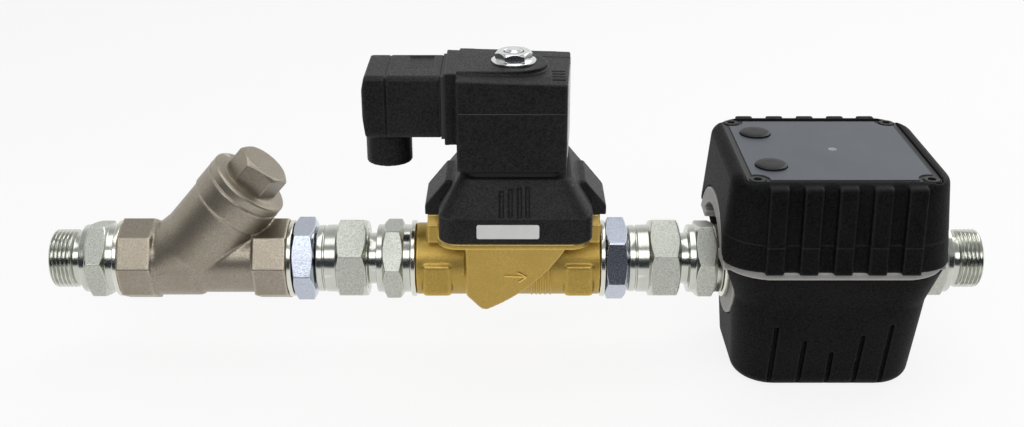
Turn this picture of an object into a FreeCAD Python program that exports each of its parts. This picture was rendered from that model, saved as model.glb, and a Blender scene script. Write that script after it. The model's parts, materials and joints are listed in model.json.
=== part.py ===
"""Inline fuel flow meter set: strainer, solenoid valve and pulse meter on one pipe axis.

Millimetres. +X runs along the flow, +Z is up, and the origin is the centre of the inlet thread's end face.
"""
import FreeCAD
import Part
import Sketcher
import math
import os
from types import SimpleNamespace

DIMENSIONS = {
    # Pipe thread and the round passages
    "thread_diameter": 26.441,
    "thread_pitch": 1.814,
    "thread_depth": 1.162,
    "thread_crest": 0.36,
    "flow_bore": 15.0,
    "port_tail_length": 11.0,
    "port_clearance": 0.1,
    "running_clearance": 0.1,
    "moving_clearance": 0.3,
    "hex_chamfer": 1.0,
    # Male adapter
    "adapter_thread_length": 10.0,
    "adapter_thread_chamfer": 0.9,
    "adapter_neck_length": 4.2,
    "adapter_neck_diameter": 23.2,
    "adapter_collar_length": 2.7,
    "adapter_collar_diameter": 31.0,
    "adapter_hex_length": 9.3,
    "adapter_hex_flats": 32.0,
    "adapter_shoulder_length": 3.3,
    "adapter_cone_mouth": 22.0,
    # Bonded washer
    "washer_thickness": 2.3,
    "washer_diameter": 34.9,
    "washer_clearance": 0.3,
    # Swivel stud and its cone seal
    "stud_hex_length": 9.8,
    "stud_hex_flats": 33.0,
    "stud_core_diameter": 29.0,
    "stud_stem_diameter": 22.4,
    "stud_stem_length": 7.5,
    "stud_flange_diameter": 25.4,
    "stud_nose_length": 13.7,
    "nose_depth": 3.6,
    "nose_clearance": 0.3,
    "cone_ring_section": 1.8,
    "cone_ring_proud": 0.2,
    # Swivel nut
    "nut_gap": 0.7,
    "nut_collar_length": 9.1,
    "nut_collar_diameter": 30.8,
    "nut_hex_length": 13.7,
    "nut_hex_flats": 34.0,
    "nut_lip_length": 6.4,
    "nut_groove_place": 3.0,
    "nut_groove_width": 0.9,
    "nut_groove_depth": 0.7,
    # Strainer
    "strainer_length": 75.2,
    "strainer_end_length": 15.1,
    "strainer_end_flats": 35.0,
    "strainer_run_diameter": 31.0,
    "strainer_foot_diameter": 33.4,
    "branch_foot": 26.5,
    "branch_angle": 49.0,
    "branch_diameter": 35.4,
    "branch_collar_start": 35.0,
    "branch_collar_diameter": 36.8,
    "branch_length": 45.2,
    "branch_cavity_diameter": 28.0,
    "branch_cavity_start": 12.0,
    "screen_diameter": 21.0,
    "screen_wall": 0.8,
    "screen_rim": 2.0,
    "cap_gasket_thickness": 0.5,
    "cap_flange_thickness": 4.3,
    "cap_flange_diameter": 36.8,
    "cap_dome": 1.5,
    "cap_hex_flats": 22.0,
    "cap_hex_length": 10.0,
    "cap_spigot_length": 10.0,
    # Valve body
    "valve_length": 82.7,
    "valve_axis_place": 43.9,
    "valve_port_diameter": 32.6,
    "valve_pad_inset": 2.9,
    "valve_pad_length": 13.5,
    "valve_pad_across": 34.6,
    "valve_pad_height": 15.5,
    "valve_pad_low": 11.4,
    "valve_flange_width": 66.0,
    "valve_flange_depth": 69.0,
    "valve_flange_top": 22.4,
    "valve_flange_thickness": 2.9,
    "valve_corner_radius": 9.0,
    "valve_lug_reach": 38.4,
    "valve_lug_width": 27.0,
    "valve_lug_thickness": 9.0,
    "valve_bowl_diameter": 58.0,
    "valve_bowl_depth": 4.5,
    "bulge_inlet_reach": 21.5,
    "bulge_outlet_reach": 24.4,
    "bulge_low": 21.4,
    "bulge_toe_inlet": 14.5,
    "bulge_toe_outlet": 12.0,
    "bulge_toe_rise": 9.0,
    "bulge_arc_radius": 81.9,
    "bulge_depth": 52.4,
    "bulge_toe_depth": 19.7,
    "bulge_radius": 4.0,
    "servo_chamber_diameter": 40.0,
    "servo_chamber_depth": 10.0,
    "seat_bore": 15.0,
    "seat_diameter": 21.0,
    "seat_height": 3.6,
    "transfer_place": 15.2,
    "transfer_bore": 8.0,
    # Servo diaphragm
    "diaphragm_diameter": 60.0,
    "diaphragm_thickness": 1.6,
    "diaphragm_disc_diameter": 23.4,
    "servo_spring_diameter": 14.0,
    "servo_spring_wire": 1.1,
    "servo_spring_turns": 3.5,
    # Valve cover
    "cover_shift": 0.8,
    "cover_width": 66.2,
    "cover_depth": 70.0,
    "cover_skirt_height": 11.6,
    "cover_slope_height": 14.0,
    "cover_top_width": 48.5,
    "cover_top_depth": 49.0,
    "cover_room_diameter": 42.0,
    "cover_room_height": 8.6,
    "cover_floor_thickness": 7.0,
    "pilot_bore": 2.0,
    "wing_reach": 39.8,
    "wing_width": 27.0,
    "wing_side_height": 9.0,
    "wing_slope_height": 11.0,
    "wing_top_reach": 31.0,
    "cover_screw_place": 35.4,
    "cover_screw_spacing": 16.0,
    "cover_screw_diameter": 4.0,
    "cover_screw_head": 7.0,
    "cover_screw_head_height": 4.0,
    "cover_screw_grip": 4.5,
    "valve_label_width": 26.6,
    "valve_label_height": 6.4,
    "valve_label_shift": 2.5,
    "valve_label_rise": 2.8,
    "label_thickness": 0.3,
    # Armature
    "tube_base_diameter": 24.6,
    "tube_base_height": 8.0,
    "tube_diameter": 14.0,
    "tube_bore": 11.0,
    "tube_bore_length": 36.0,
    "tube_stud_diameter": 8.0,
    "tube_stud_tip": 4.8,
    "plunger_length": 31.9,
    "plunger_pocket_diameter": 5.6,
    "plunger_pocket_depth": 10.0,
    "plunger_spring_diameter": 4.4,
    "plunger_spring_wire": 0.6,
    "plunger_spring_turns": 6.5,
    "pilot_seal_diameter": 6.4,
    "pilot_seal_height": 2.0,
    # Coil
    "coil_seal_height": 3.0,
    "coil_seal_width": 42.0,
    "coil_seal_radius": 6.0,
    "coil_inlet_reach": 24.2,
    "coil_outlet_reach": 22.4,
    "coil_depth": 47.0,
    "coil_height": 41.0,
    "coil_top_drop": 1.8,
    "coil_corner_radius": 1.0,
    "coil_back_flare": 3.0,
    "coil_platform_diameter": 29.0,
    "coil_platform_rise": 1.0,
    "winding_diameter": 38.0,
    "winding_bore": 16.4,
    "winding_height": 28.0,
    "yoke_thickness": 2.6,
    "yoke_low": 2.4,
    "coil_washer_diameter": 19.5,
    "coil_washer_thickness": 1.0,
    "coil_nut_flats": 14.2,
    "coil_nut_height": 3.8,
    "coil_stud_proud": 0.8,
    "coil_label_height": 32.0,
    "coil_label_depth": 36.0,
    "coil_boss_reach": 29.4,
    "coil_boss_depth": 37.6,
    "coil_boss_low": 10.4,
    # Cable plug
    "plug_gasket_thickness": 1.4,
    "plug_length": 33.6,
    "plug_depth": 35.6,
    "plug_height": 27.4,
    "plug_wall": 2.2,
    "plug_corner_radius": 2.6,
    "plug_drop": 0.6,
    "terminal_length": 14.4,
    "contact_width": 6.3,
    "contact_thickness": 0.9,
    "contact_spacing": 18.0,
    "contact_reach": 10.0,
    "contact_root": 3.0,
    "plug_screw_diameter": 3.0,
    "plug_screw_head": 6.4,
    "plug_screw_head_height": 3.0,
    "gland_place": 9.7,
    "gland_diameter": 20.0,
    "gland_reach": 15.4,
    "gland_socket_diameter": 15.0,
    "gland_nut_height": 7.0,
    "gland_seal_height": 6.0,
    "cable_bore": 8.5,
    # Meter body and measuring chamber
    "meter_length": 82.5,
    "meter_block_width": 68.0,
    "meter_block_depth": 52.0,
    "meter_block_low": 34.0,
    "meter_block_radius": 10.0,
    "meter_boss_diameter": 37.0,
    "meter_boss_length": 15.0,
    "band_lip": 7.6,
    "band_front_lip": 6.9,
    "band_low": 10.9,
    "band_thickness": 3.9,
    "band_radius": 21.0,
    "port_room_diameter": 50.0,
    "port_rim_diameter": 84.0,
    "port_rim_drop": 10.0,
    "port_rim_wall": 7.0,
    "port_rim_inset": 1.0,
    "port_rim_back": 3.2,
    "passage_place": 20.0,
    "passage_bore": 13.0,
    "gear_teeth": 12,
    "gear_centres": 20.0,
    "gear_addendum": 1.45,
    "gear_dedendum": 1.85,
    "gear_face": 17.8,
    "gear_tip_width": 1.0,
    "gear_pitch_width": 2.2,
    "gear_root_width": 2.9,
    "gear_end_clearance": 0.3,
    "gear_tip_clearance": 0.4,
    "axle_diameter": 5.0,
    "axle_seat": 4.0,
    "axle_running": 0.06,
    "magnet_diameter": 3.0,
    "magnet_height": 2.0,
    "magnet_circle": 11.4,
    "chamber_gasket_thickness": 0.8,
    "chamber_cover_thickness": 7.0,
    "chamber_screw_diameter": 4.0,
    "chamber_screw_head": 7.0,
    "chamber_screw_head_height": 3.0,
    "chamber_screw_edge": 6.0,
    "chamber_screw_grip": 9.0,
    # Electronics case and face
    "case_screw_edge": 4.3,
    "case_front_edge": 3.6,
    "case_height": 35.2,
    "case_wall": 2.4,
    "case_radius": 4.0,
    "case_boss_diameter": 8.4,
    "face_thickness": 2.5,
    "face_label_thickness": 0.5,
    "face_label_margin": 2.6,
    "face_screw_spacing": 72.4,
    "face_screw_notch": 10.6,
    "face_screw_diameter": 3.6,
    "face_screw_head": 6.8,
    "face_screw_head_height": 2.4,
    "face_screw_length": 14.0,
    "board_screw_gap": 3.2,
    "board_thickness": 1.6,
    "board_rise": 20.6,
    "board_post_spacing": 54.0,
    "board_post_diameter": 6.0,
    "button_diameter": 13.6,
    "button_proud": 1.4,
    "button_edge_drop": 0.7,
    "button_crown_drop": 0.18,
    "button_crown_diameter": 11.6,
    "button_flat_diameter": 6.8,
    "button_travel": 1.0,
    "button_flange": 1.4,
    "button_flange_thickness": 1.2,
    "button_edge": 12.8,
    "button_spacing": 40.9,
    "button_stem_diameter": 4.0,
    "switch_width": 6.0,
    "switch_height": 3.4,
    "lens_diameter": 4.0,
    "lens_place": 3.0,
    "sensor_width": 12.0,
    "sensor_height": 5.0,
    "battery_diameter": 16.8,
    "battery_length": 45.0,
    "battery_place": 13.0,
    # Rubber boots
    "boot_clearance": 0.3,
    "upper_boot_wall": 8.5,
    "upper_boot_front_wall": 7.2,
    "upper_boot_top_wall": 5.5,
    "upper_boot_top_front_wall": 4.2,
    "upper_boot_height": 38.8,
    "upper_boot_radius": 17.0,
    "upper_boot_shoulder": 4.5,
    "rib_pitch": 14.3,
    "rib_width": 8.0,
    "rib_proud": 3.2,
    "rib_top_drop": 1.0,
    "lower_boot_shift": 1.9,
    "lower_boot_width": 95.0,
    "lower_boot_depth": 85.0,
    "lower_boot_flare": 16.5,
    "lower_boot_waist_width": 86.0,
    "lower_boot_waist_depth": 76.0,
    "lower_boot_bottom_width": 80.0,
    "lower_boot_bottom_depth": 64.0,
    "lower_boot_top": 10.5,
    "lower_boot_low": 49.0,
    "lower_boot_radius": 18.0,
    "lower_boot_sole_radius": 6.0,
}

# Proportions of regular polygons, of a 60 degree cone and of a 30 degree hex chamfer
HEX_CORNER = 2 / math.sqrt(3)
OCTAGON_CORNER = 1 / math.cos(math.pi / 8)
CONE_RISE = math.sqrt(3)
CONE_SLOPE = 1 / math.sqrt(3)

# Height of each polygon's front corner above the level through the pipe axis, in degrees
INLET_ADAPTER_TURN = 15.0
VALVE_ADAPTER_TURN = 5.0
METER_ADAPTER_TURN = 14.0
OUTLET_ADAPTER_TURN = 20.0
STRAINER_STUD_TURN = -4.0
VALVE_STUD_TURN = -16.0
NUT_TURN = 26.0
STRAINER_END_TURN = 7.3
CAP_TURN = 30.0

RIB_COUNT = 5


class Size:
    """A length or an angle: its present value, and the expression that ties it to the sheet."""

    def __init__(self, value, text):
        self.value = value
        self.text = text

    def __add__(self, other):
        other = size(other)
        return Size(self.value + other.value, f"({self.text} + {other.text})")

    def __sub__(self, other):
        other = size(other)
        return Size(self.value - other.value, f"({self.text} - {other.text})")

    def __mul__(self, other):
        other = size(other)
        return Size(self.value * other.value, f"({self.text} * {other.text})")

    def __truediv__(self, other):
        other = size(other)
        return Size(self.value / other.value, f"({self.text} / {other.text})")

    def __neg__(self):
        return Size(-self.value, f"(0 - {self.text})")

    def cos(self):
        return Size(math.cos(math.radians(self.value)), f"cos({self.text})")

    def sin(self):
        return Size(math.sin(math.radians(self.value)), f"sin({self.text})")

    def root(self):
        return Size(math.sqrt(self.value), f"sqrt({self.text})")

    __radd__ = __add__
    __rmul__ = __mul__


def size(number):
    """A plain number as a Size."""
    if isinstance(number, Size):
        return number
    return Size(number, f"{number:.9f}")


doc = FreeCAD.newDocument("fuel_flow_meter")
sheet = doc.addObject("Spreadsheet::Sheet", "dims")
for row, (alias, number) in enumerate(DIMENSIONS.items(), start=1):
    sheet.set(f"A{row}", alias)
    sheet.set(f"B{row}", str(number))
    sheet.setAlias(f"B{row}", alias)
doc.recompute()
d = SimpleNamespace(**{alias: Size(number, f"dims.{alias}") for alias, number in DIMENSIONS.items()})

parts = {}

# Directions that a piece's own axis can take
ALONG_X = FreeCAD.Rotation(FreeCAD.Vector(0, 1, 0), 90)
ALONG_Y = FreeCAD.Rotation(FreeCAD.Vector(1, 0, 0), -90)
ALONG_Z = FreeCAD.Rotation()
TURNED_X = FreeCAD.Rotation()
TURNED_BACK = FreeCAD.Rotation(FreeCAD.Vector(0, 0, 1), 180)
TURNED_UP = FreeCAD.Rotation(FreeCAD.Vector(0, -1, 0), 90)
WEDGE_UP = FreeCAD.Rotation(FreeCAD.Vector(1, 0, 0), 90)
WEDGE_DOWN = FreeCAD.Rotation(FreeCAD.Vector(1, 0, 0), -90)
WEDGE_ALONG = FreeCAD.Rotation(FreeCAD.Vector(0, 0, 1), -90)


def place(piece, at, rotation):
    """Put a piece at a point, tied to the sheet, with its axis in a fixed direction."""
    point = [size(value) for value in at]
    piece.Placement = FreeCAD.Placement(FreeCAD.Vector(*[value.value for value in point]), rotation)
    for letter, value in zip("xyz", point):
        piece.setExpression(f"Placement.Base.{letter}", value.text)
    return piece


def tie(piece, **properties):
    """Bind properties of a piece to sizes."""
    for name, value in properties.items():
        piece.setExpression(name, size(value).text)
    return piece


def cylinder(name, diameter, length, at, rotation=ALONG_Z):
    piece = doc.addObject("Part::Cylinder", name)
    tie(piece, Radius=size(diameter) / 2, Height=length)
    return place(piece, at, rotation)


def box(name, width, depth, height, centre_x, centre_y, low):
    """A block centred on a point in plan, standing on the level called low."""
    piece = doc.addObject("Part::Box", name)
    tie(piece, Length=width, Width=depth, Height=height)
    return place(piece, (centre_x - size(width) / 2, centre_y - size(depth) / 2, low), ALONG_Z)


def wedge(name, base, top, height, at, rotation):
    """A block whose width and depth change evenly from its base to its top."""
    piece = doc.addObject("Part::Wedge", name)
    width, depth = (size(value) / 2 for value in base)
    top_width, top_depth = (size(value) / 2 for value in top)
    tie(piece, Xmin=-width, Xmax=width, Zmin=-depth, Zmax=depth, Ymin=0, Ymax=height)
    tie(piece, X2min=-top_width, X2max=top_width, Z2min=-top_depth, Z2max=top_depth)
    return place(piece, at, rotation)


def polygon_bar(name, sides, circumscribed, length, at, rotation):
    piece = doc.addObject("Part::Prism", name)
    piece.Polygon = sides
    tie(piece, Circumradius=circumscribed, Height=length)
    return place(piece, at, rotation)


def corner_at(elevation):
    """Rotation that lays a polygon bar along X with its front corner this many degrees above the level."""
    return FreeCAD.Rotation(FreeCAD.Vector(1, 0, 0), -90 - elevation).multiply(ALONG_X)


def joined(name, *pieces):
    piece = doc.addObject("Part::MultiFuse", name)
    piece.Shapes = list(pieces)
    return piece


def cut(name, base, *tools):
    piece = doc.addObject("Part::Cut", name)
    piece.Base = base
    piece.Tool = tools[0] if len(tools) == 1 else joined(name + "_tools", *tools)
    return piece


def shared(name, first, second):
    piece = doc.addObject("Part::MultiCommon", name)
    piece.Shapes = [first, second]
    return piece


def group(name, pieces):
    """Several separate solids as one sub-part."""
    piece = doc.addObject("Part::Compound", name)
    piece.Links = list(pieces)
    return piece


def is_upright(edge):
    """True for an edge that climbs, in a block that may taper."""
    first, last = edge.Vertexes[0].Point, edge.Vertexes[-1].Point
    return abs(first.z - last.z) > 0.5 * edge.Length


def is_toe_corner(edge, top):
    """True for a cross edge on the inlet side of a panel, below its top."""
    first, last = edge.Vertexes[0].Point, edge.Vertexes[-1].Point
    crosswise = abs(first.y - last.y) > 0.5 * edge.Length
    return crosswise and first.x < 0 and first.z < top.value - 1e-6


def lies_at(level):
    """Test for edges that lie wholly at one level."""
    return lambda edge: all(abs(vertex.Z - level.value) < 1e-6 for vertex in edge.Vertexes)


def rounded(name, base, *rules):
    """Round the edges of a piece: each rule is a test for edges and a radius."""
    doc.recompute()
    piece = doc.addObject("Part::Fillet", name)
    piece.Base = base
    edges = []
    for test, radius in rules:
        for index, edge in enumerate(base.Shape.Edges, start=1):
            if test(edge):
                edges.append((index, radius.value, radius.value))
    piece.Edges = edges
    return piece


def plane_of(body, role):
    return next(item for item in body.Origin.OriginFeatures if item.Role == role)


def outline(body, name, role, points):
    """A closed sketch of straight runs on one of a body's own planes, every corner tied to the sheet."""
    sketch = body.newObject("Sketcher::SketchObject", name)
    sketch.AttachmentSupport = (plane_of(body, role), [""])
    sketch.MapMode = "FlatFace"
    corners = [(size(across), size(up)) for across, up in points]
    vectors = [FreeCAD.Vector(across.value, up.value, 0) for across, up in corners]
    count = len(corners)
    for index in range(count):
        sketch.addGeometry(Part.LineSegment(vectors[index], vectors[(index + 1) % count]), False)
    for index in range(count):
        sketch.addConstraint(Sketcher.Constraint("Coincident", index, 2, (index + 1) % count, 1))
    for index, (across, up) in enumerate(corners):
        for kind, value in (("DistanceX", across), ("DistanceY", up)):
            number = sketch.addConstraint(Sketcher.Constraint(kind, -1, 1, index, 1, value.value))
            sketch.setExpression(f"Constraints[{number}]", value.text)
    return sketch


def turned(name, points, at=(0, 0, 0), rotation=TURNED_X):
    """A round piece: an outline of (along, radius) points turned about its own X axis."""
    body = doc.addObject("PartDesign::Body", name)
    sketch = outline(body, name + "_outline", "XY_Plane", points)
    feature = body.newObject("PartDesign::Revolution", name + "_turned")
    feature.Profile = sketch
    feature.ReferenceAxis = (sketch, ["H_Axis"])
    feature.Angle = 360
    return place(body, at, rotation)


def ring(name, inner, outer, start, length, at=(0, 0, 0), rotation=TURNED_X):
    """A plain tube by its two diameters."""
    start = size(start)
    inside, outside = size(inner) / 2, size(outer) / 2
    end = start + length
    points = [(start, inside), (start, outside), (end, outside), (end, inside)]
    return turned(name, points, at, rotation)


def hex_ring(name, flats, inner, start, length, at, front_corner):
    """A hexagon with chamfered corners round the pipe axis, hollow inside."""
    corner = flats * (HEX_CORNER / 2)
    chamfered = corner - d.hex_chamfer * CONE_RISE
    end = start + length
    envelope = turned(name + "_envelope", [
        (start, inner / 2),
        (start, chamfered),
        (start + d.hex_chamfer, corner),
        (end - d.hex_chamfer, corner),
        (end, chamfered),
        (end, inner / 2),
    ], (at, 0, 0))
    bar = polygon_bar(name + "_bar", 6, corner, length, (at + start, 0, 0), corner_at(front_corner))
    return shared(name, envelope, bar)


def helix_spring(name, diameter, wire, turns, length, at):
    """A coil spring of round wire standing on a point, its wire ends cut square."""
    rise = length - wire
    path = doc.addObject("Part::Helix", name + "_path")
    tie(path, Radius=diameter / 2, Height=rise, Pitch=rise / turns)
    section = doc.addObject("Part::Circle", name + "_section")
    tie(section, Radius=wire / 2)
    place(section, (diameter / 2, 0, 0), FreeCAD.Rotation(FreeCAD.Vector(1, 0, 0), 90))
    piece = doc.addObject("Part::Sweep", name)
    piece.Sections = [section]
    piece.Spine = (path, [])
    piece.Solid = True
    piece.Frenet = True
    x, y, z = at
    return place(piece, (x, y, size(z) + wire / 2), ALONG_Z)


# Stations along the pipe axis
tail_diameter = d.thread_diameter - d.thread_depth
socket_diameter = tail_diameter + d.port_clearance * 2
adapter_collar = d.adapter_thread_length + d.adapter_neck_length
adapter_hex = adapter_collar + d.adapter_collar_length
adapter_shoulder = adapter_hex + d.adapter_hex_length
adapter_face = adapter_shoulder + d.adapter_shoulder_length
adapter_reach = adapter_face + d.washer_thickness
stud_nose = d.stud_hex_length + d.stud_nose_length

strainer_x = adapter_reach
strainer_end_x = strainer_x + d.strainer_length
first_stud_x = strainer_end_x + d.washer_thickness
valve_adapter_x = first_stud_x + stud_nose
valve_x = valve_adapter_x + adapter_reach
valve_end_x = valve_x + d.valve_length
second_stud_x = valve_end_x + d.washer_thickness
meter_adapter_x = second_stud_x + stud_nose
meter_x = meter_adapter_x + adapter_reach
meter_end_x = meter_x + d.meter_length
outlet_x = meter_end_x + adapter_reach

valve_axis_x = valve_x + d.valve_axis_place
cover_mid_x = valve_axis_x + d.cover_shift
meter_mid_x = meter_x + d.meter_length / 2


def adapter(label, at, rotation, front_corner):
    """Male adapter: a free thread with a cone seat, a hexagon, and a tail inside the device's port."""
    crest = d.thread_diameter / 2
    neck = d.adapter_neck_diameter / 2
    collar = d.adapter_collar_diameter / 2
    tail = tail_diameter / 2
    bore = d.flow_bore / 2
    mouth = d.adapter_cone_mouth / 2
    tail_end = adapter_face + d.port_tail_length
    body = turned(label + "_core", [
        (0, mouth),
        (0, crest - d.adapter_thread_chamfer),
        (d.adapter_thread_chamfer, crest),
        (d.adapter_thread_length, crest),
        (d.adapter_thread_length, neck),
        (adapter_collar, neck),
        (adapter_collar, collar),
        (adapter_face, collar),
        (adapter_face, tail),
        (tail_end, tail),
        (tail_end, bore),
        ((mouth - bore) * CONE_RISE, bore),
    ], (at, 0, 0), rotation)
    margin = d.thread_crest / 2
    half_width = (d.thread_pitch - d.thread_crest) / 2
    slope = half_width / d.thread_depth
    first = d.adapter_thread_chamfer + d.thread_crest + half_width
    sketch = outline(body, label + "_groove", "XY_Plane", [
        (first - half_width - slope * margin, crest + margin),
        (first, crest - d.thread_depth),
        (first + half_width + slope * margin, crest + margin),
    ])
    groove = body.newObject("PartDesign::Groove", label + "_thread")
    groove.Profile = sketch
    groove.ReferenceAxis = (sketch, ["H_Axis"])
    groove.Angle = 360
    room = d.adapter_thread_length.value - first.value - half_width.value
    count = 1 + int(room / d.thread_pitch.value)
    pattern = body.newObject("PartDesign::LinearPattern", label + "_threads")
    pattern.Originals = [groove]
    pattern.Direction = (sketch, ["H_Axis"])
    pattern.Occurrences = count
    tie(pattern, Length=d.thread_pitch * (count - 1))
    body.Tip = pattern
    hexagon = hex_ring(label + "_hex", d.adapter_hex_flats, d.adapter_neck_diameter, adapter_hex,
                       d.adapter_hex_length, size(0), front_corner)
    place(hexagon, (at, 0, 0), rotation)
    parts[label] = joined(label, body, hexagon)


def swivel_stud(label, at, hex_turn):
    """Stud with a hexagon: a tail in the device's port, and a stem, flange and cone nose for the nut."""
    tail = tail_diameter / 2
    bore = d.flow_bore / 2
    core = d.stud_core_diameter / 2
    stem = d.stud_stem_diameter / 2
    flange = d.stud_flange_diameter / 2
    flange_start = d.stud_hex_length + d.stud_stem_length
    nose = d.adapter_cone_mouth / 2 - d.nose_clearance
    body = turned(label + "_core", [
        (-d.port_tail_length, bore),
        (-d.port_tail_length, tail),
        (0, tail),
        (0, core),
        (d.stud_hex_length, core),
        (d.stud_hex_length, stem),
        (flange_start, stem),
        (flange_start, flange),
        (stud_nose - d.nose_clearance, flange),
        (stud_nose - d.nose_clearance, nose),
        (stud_nose, nose),
        (stud_nose + d.nose_depth, nose - d.nose_depth * CONE_SLOPE),
        (stud_nose + d.nose_depth, bore),
    ], (at, 0, 0))
    hexagon = hex_ring(label + "_hex", d.stud_hex_flats, d.stud_stem_diameter, size(0),
                       d.stud_hex_length, at, hex_turn)
    groove = cone_ring(label + "_ring_groove", at, d.cone_ring_section + d.port_clearance)
    parts[label] = cut(label, joined(label + "_blank", body, hexagon), groove)


def cone_ring(name, at, section):
    """Round ring half sunk in the cone nose of a stud."""
    depth = d.nose_depth / 2
    nose = d.adapter_cone_mouth / 2 - d.nose_clearance - depth * CONE_SLOPE
    sink = (d.cone_ring_section / 2 - d.cone_ring_proud) * HEX_CORNER
    piece = doc.addObject("Part::Torus", name)
    tie(piece, Radius1=nose - sink, Radius2=section / 2)
    return place(piece, (at + stud_nose + depth, 0, 0), ALONG_X)


def swivel_nut(label, at):
    """Union nut that turns on a stud's stem and runs over the next adapter's thread."""
    collar = d.nut_collar_diameter / 2
    lip = d.stud_stem_diameter / 2 + d.running_clearance
    bore = d.thread_diameter / 2 + d.moving_clearance
    groove = d.nut_groove_place
    groove_end = groove + d.nut_groove_width
    groove_floor = collar - d.nut_groove_depth
    length = d.nut_collar_length + d.nut_hex_length
    start = at + d.stud_hex_length + d.nut_gap
    body = turned(label + "_core", [
        (0, lip),
        (0, collar),
        (groove, collar),
        (groove, groove_floor),
        (groove_end, groove_floor),
        (groove_end, collar),
        (length, collar),
        (length, bore),
        (d.nut_lip_length, bore),
        (d.nut_lip_length, lip),
    ], (start, 0, 0))
    hexagon = hex_ring(label + "_hex", d.nut_hex_flats, bore * 2, d.nut_collar_length,
                       d.nut_hex_length, start, NUT_TURN)
    parts[label] = joined(label, body, hexagon)


def bonded_washers():
    places = (strainer_x - d.washer_thickness, strainer_end_x, valve_x - d.washer_thickness,
              valve_end_x, meter_x - d.washer_thickness, meter_end_x)
    bore = tail_diameter + d.washer_clearance * 2
    rings = [ring(f"washer_{number}", bore, d.washer_diameter, 0, d.washer_thickness, (at, 0, 0))
             for number, at in enumerate(places, start=1)]
    parts["bonded_washers"] = group("bonded_washers", rings)


# Strainer: the branch rises from the run, and its own axis is the local X of its turned pieces
branch_x = strainer_x + d.branch_foot
BRANCH_TURN = FreeCAD.Rotation(FreeCAD.Vector(0, -1, 0), d.branch_angle.value)


def on_branch(piece):
    """Stand a turned piece on the branch axis."""
    place(piece, (branch_x, 0, 0), BRANCH_TURN)
    piece.setExpression("Placement.Rotation.Angle", d.branch_angle.text)
    return piece


def strainer_body():
    end = d.strainer_end_flats * (OCTAGON_CORNER / 2)
    turn = corner_at(STRAINER_END_TURN)
    right_end_x = strainer_end_x - d.strainer_end_length
    left_end = polygon_bar("strainer_left_end", 8, end, d.strainer_end_length, (strainer_x, 0, 0), turn)
    right_end = polygon_bar("strainer_right_end", 8, end, d.strainer_end_length, (right_end_x, 0, 0), turn)
    run = cylinder("strainer_run", d.strainer_run_diameter, d.strainer_length, (strainer_x, 0, 0), ALONG_X)
    outer = d.branch_diameter / 2
    collar = d.branch_collar_diameter / 2
    branch = on_branch(turned("strainer_branch", [
        (d.branch_cavity_start / 2, 0),
        (d.branch_cavity_start / 2, outer),
        (d.branch_collar_start, outer),
        (d.branch_collar_start, collar),
        (d.branch_length, collar),
        (d.branch_length, 0),
    ]))
    foot_bar = on_branch(turned("strainer_foot_bar", [
        (-d.branch_diameter, 0),
        (-d.branch_diameter, outer),
        (d.branch_collar_start, outer),
        (d.branch_collar_start, 0),
    ]))
    foot_length = d.strainer_length - d.strainer_end_length * 2
    foot_run = cylinder("strainer_foot_run", d.strainer_foot_diameter, foot_length,
                        (strainer_x + d.strainer_end_length, 0, 0), ALONG_X)
    foot = shared("strainer_foot", foot_bar, foot_run)
    blank = joined("strainer_blank", left_end, right_end, run, branch, foot)
    socket_depth = d.port_tail_length + d.moving_clearance
    left_socket = cylinder("strainer_left_socket", socket_diameter, socket_depth, (strainer_x, 0, 0), ALONG_X)
    right_socket = cylinder("strainer_right_socket", socket_diameter, socket_depth,
                            (strainer_end_x - socket_depth, 0, 0), ALONG_X)
    inlet = cylinder("strainer_inlet", d.flow_bore, d.branch_foot, (strainer_x, 0, 0), ALONG_X)
    outlet_length = d.strainer_length - d.branch_foot - d.branch_cavity_start
    outlet = cylinder("strainer_outlet", d.flow_bore, outlet_length,
                      (strainer_end_x - outlet_length, 0, 0), ALONG_X)
    cavity = d.branch_cavity_diameter / 2
    throat = (d.screen_diameter - d.screen_rim * 2) / 2
    room = on_branch(turned("strainer_room", [
        (-d.flow_bore / 2, 0),
        (-d.flow_bore / 2, throat),
        (d.branch_cavity_start, throat),
        (d.branch_cavity_start, cavity),
        (d.branch_length, cavity),
        (d.branch_length, 0),
    ]))
    parts["strainer_body"] = cut("strainer_body", blank, left_socket, right_socket, inlet, outlet, room)


cap_face = d.branch_length + d.cap_gasket_thickness
spigot_end = cap_face - d.cap_spigot_length


def strainer_inside():
    """Screen and gasket that leave the branch together with the cap."""
    outer = d.screen_diameter / 2
    inner = outer - d.screen_wall
    rim = outer - d.screen_rim
    bottom = d.branch_cavity_start + d.moving_clearance
    parts["strainer_screen"] = on_branch(turned("strainer_screen", [
        (bottom, rim),
        (bottom, outer),
        (spigot_end, outer),
        (spigot_end, rim),
        (spigot_end - d.screen_rim, rim),
        (spigot_end - d.screen_rim, inner),
        (bottom + d.screen_rim, inner),
        (bottom + d.screen_rim, rim),
    ]))
    parts["strainer_cap_gasket"] = on_branch(ring(
        "strainer_cap_gasket", d.branch_cavity_diameter, d.branch_collar_diameter,
        d.branch_length, d.cap_gasket_thickness))


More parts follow.
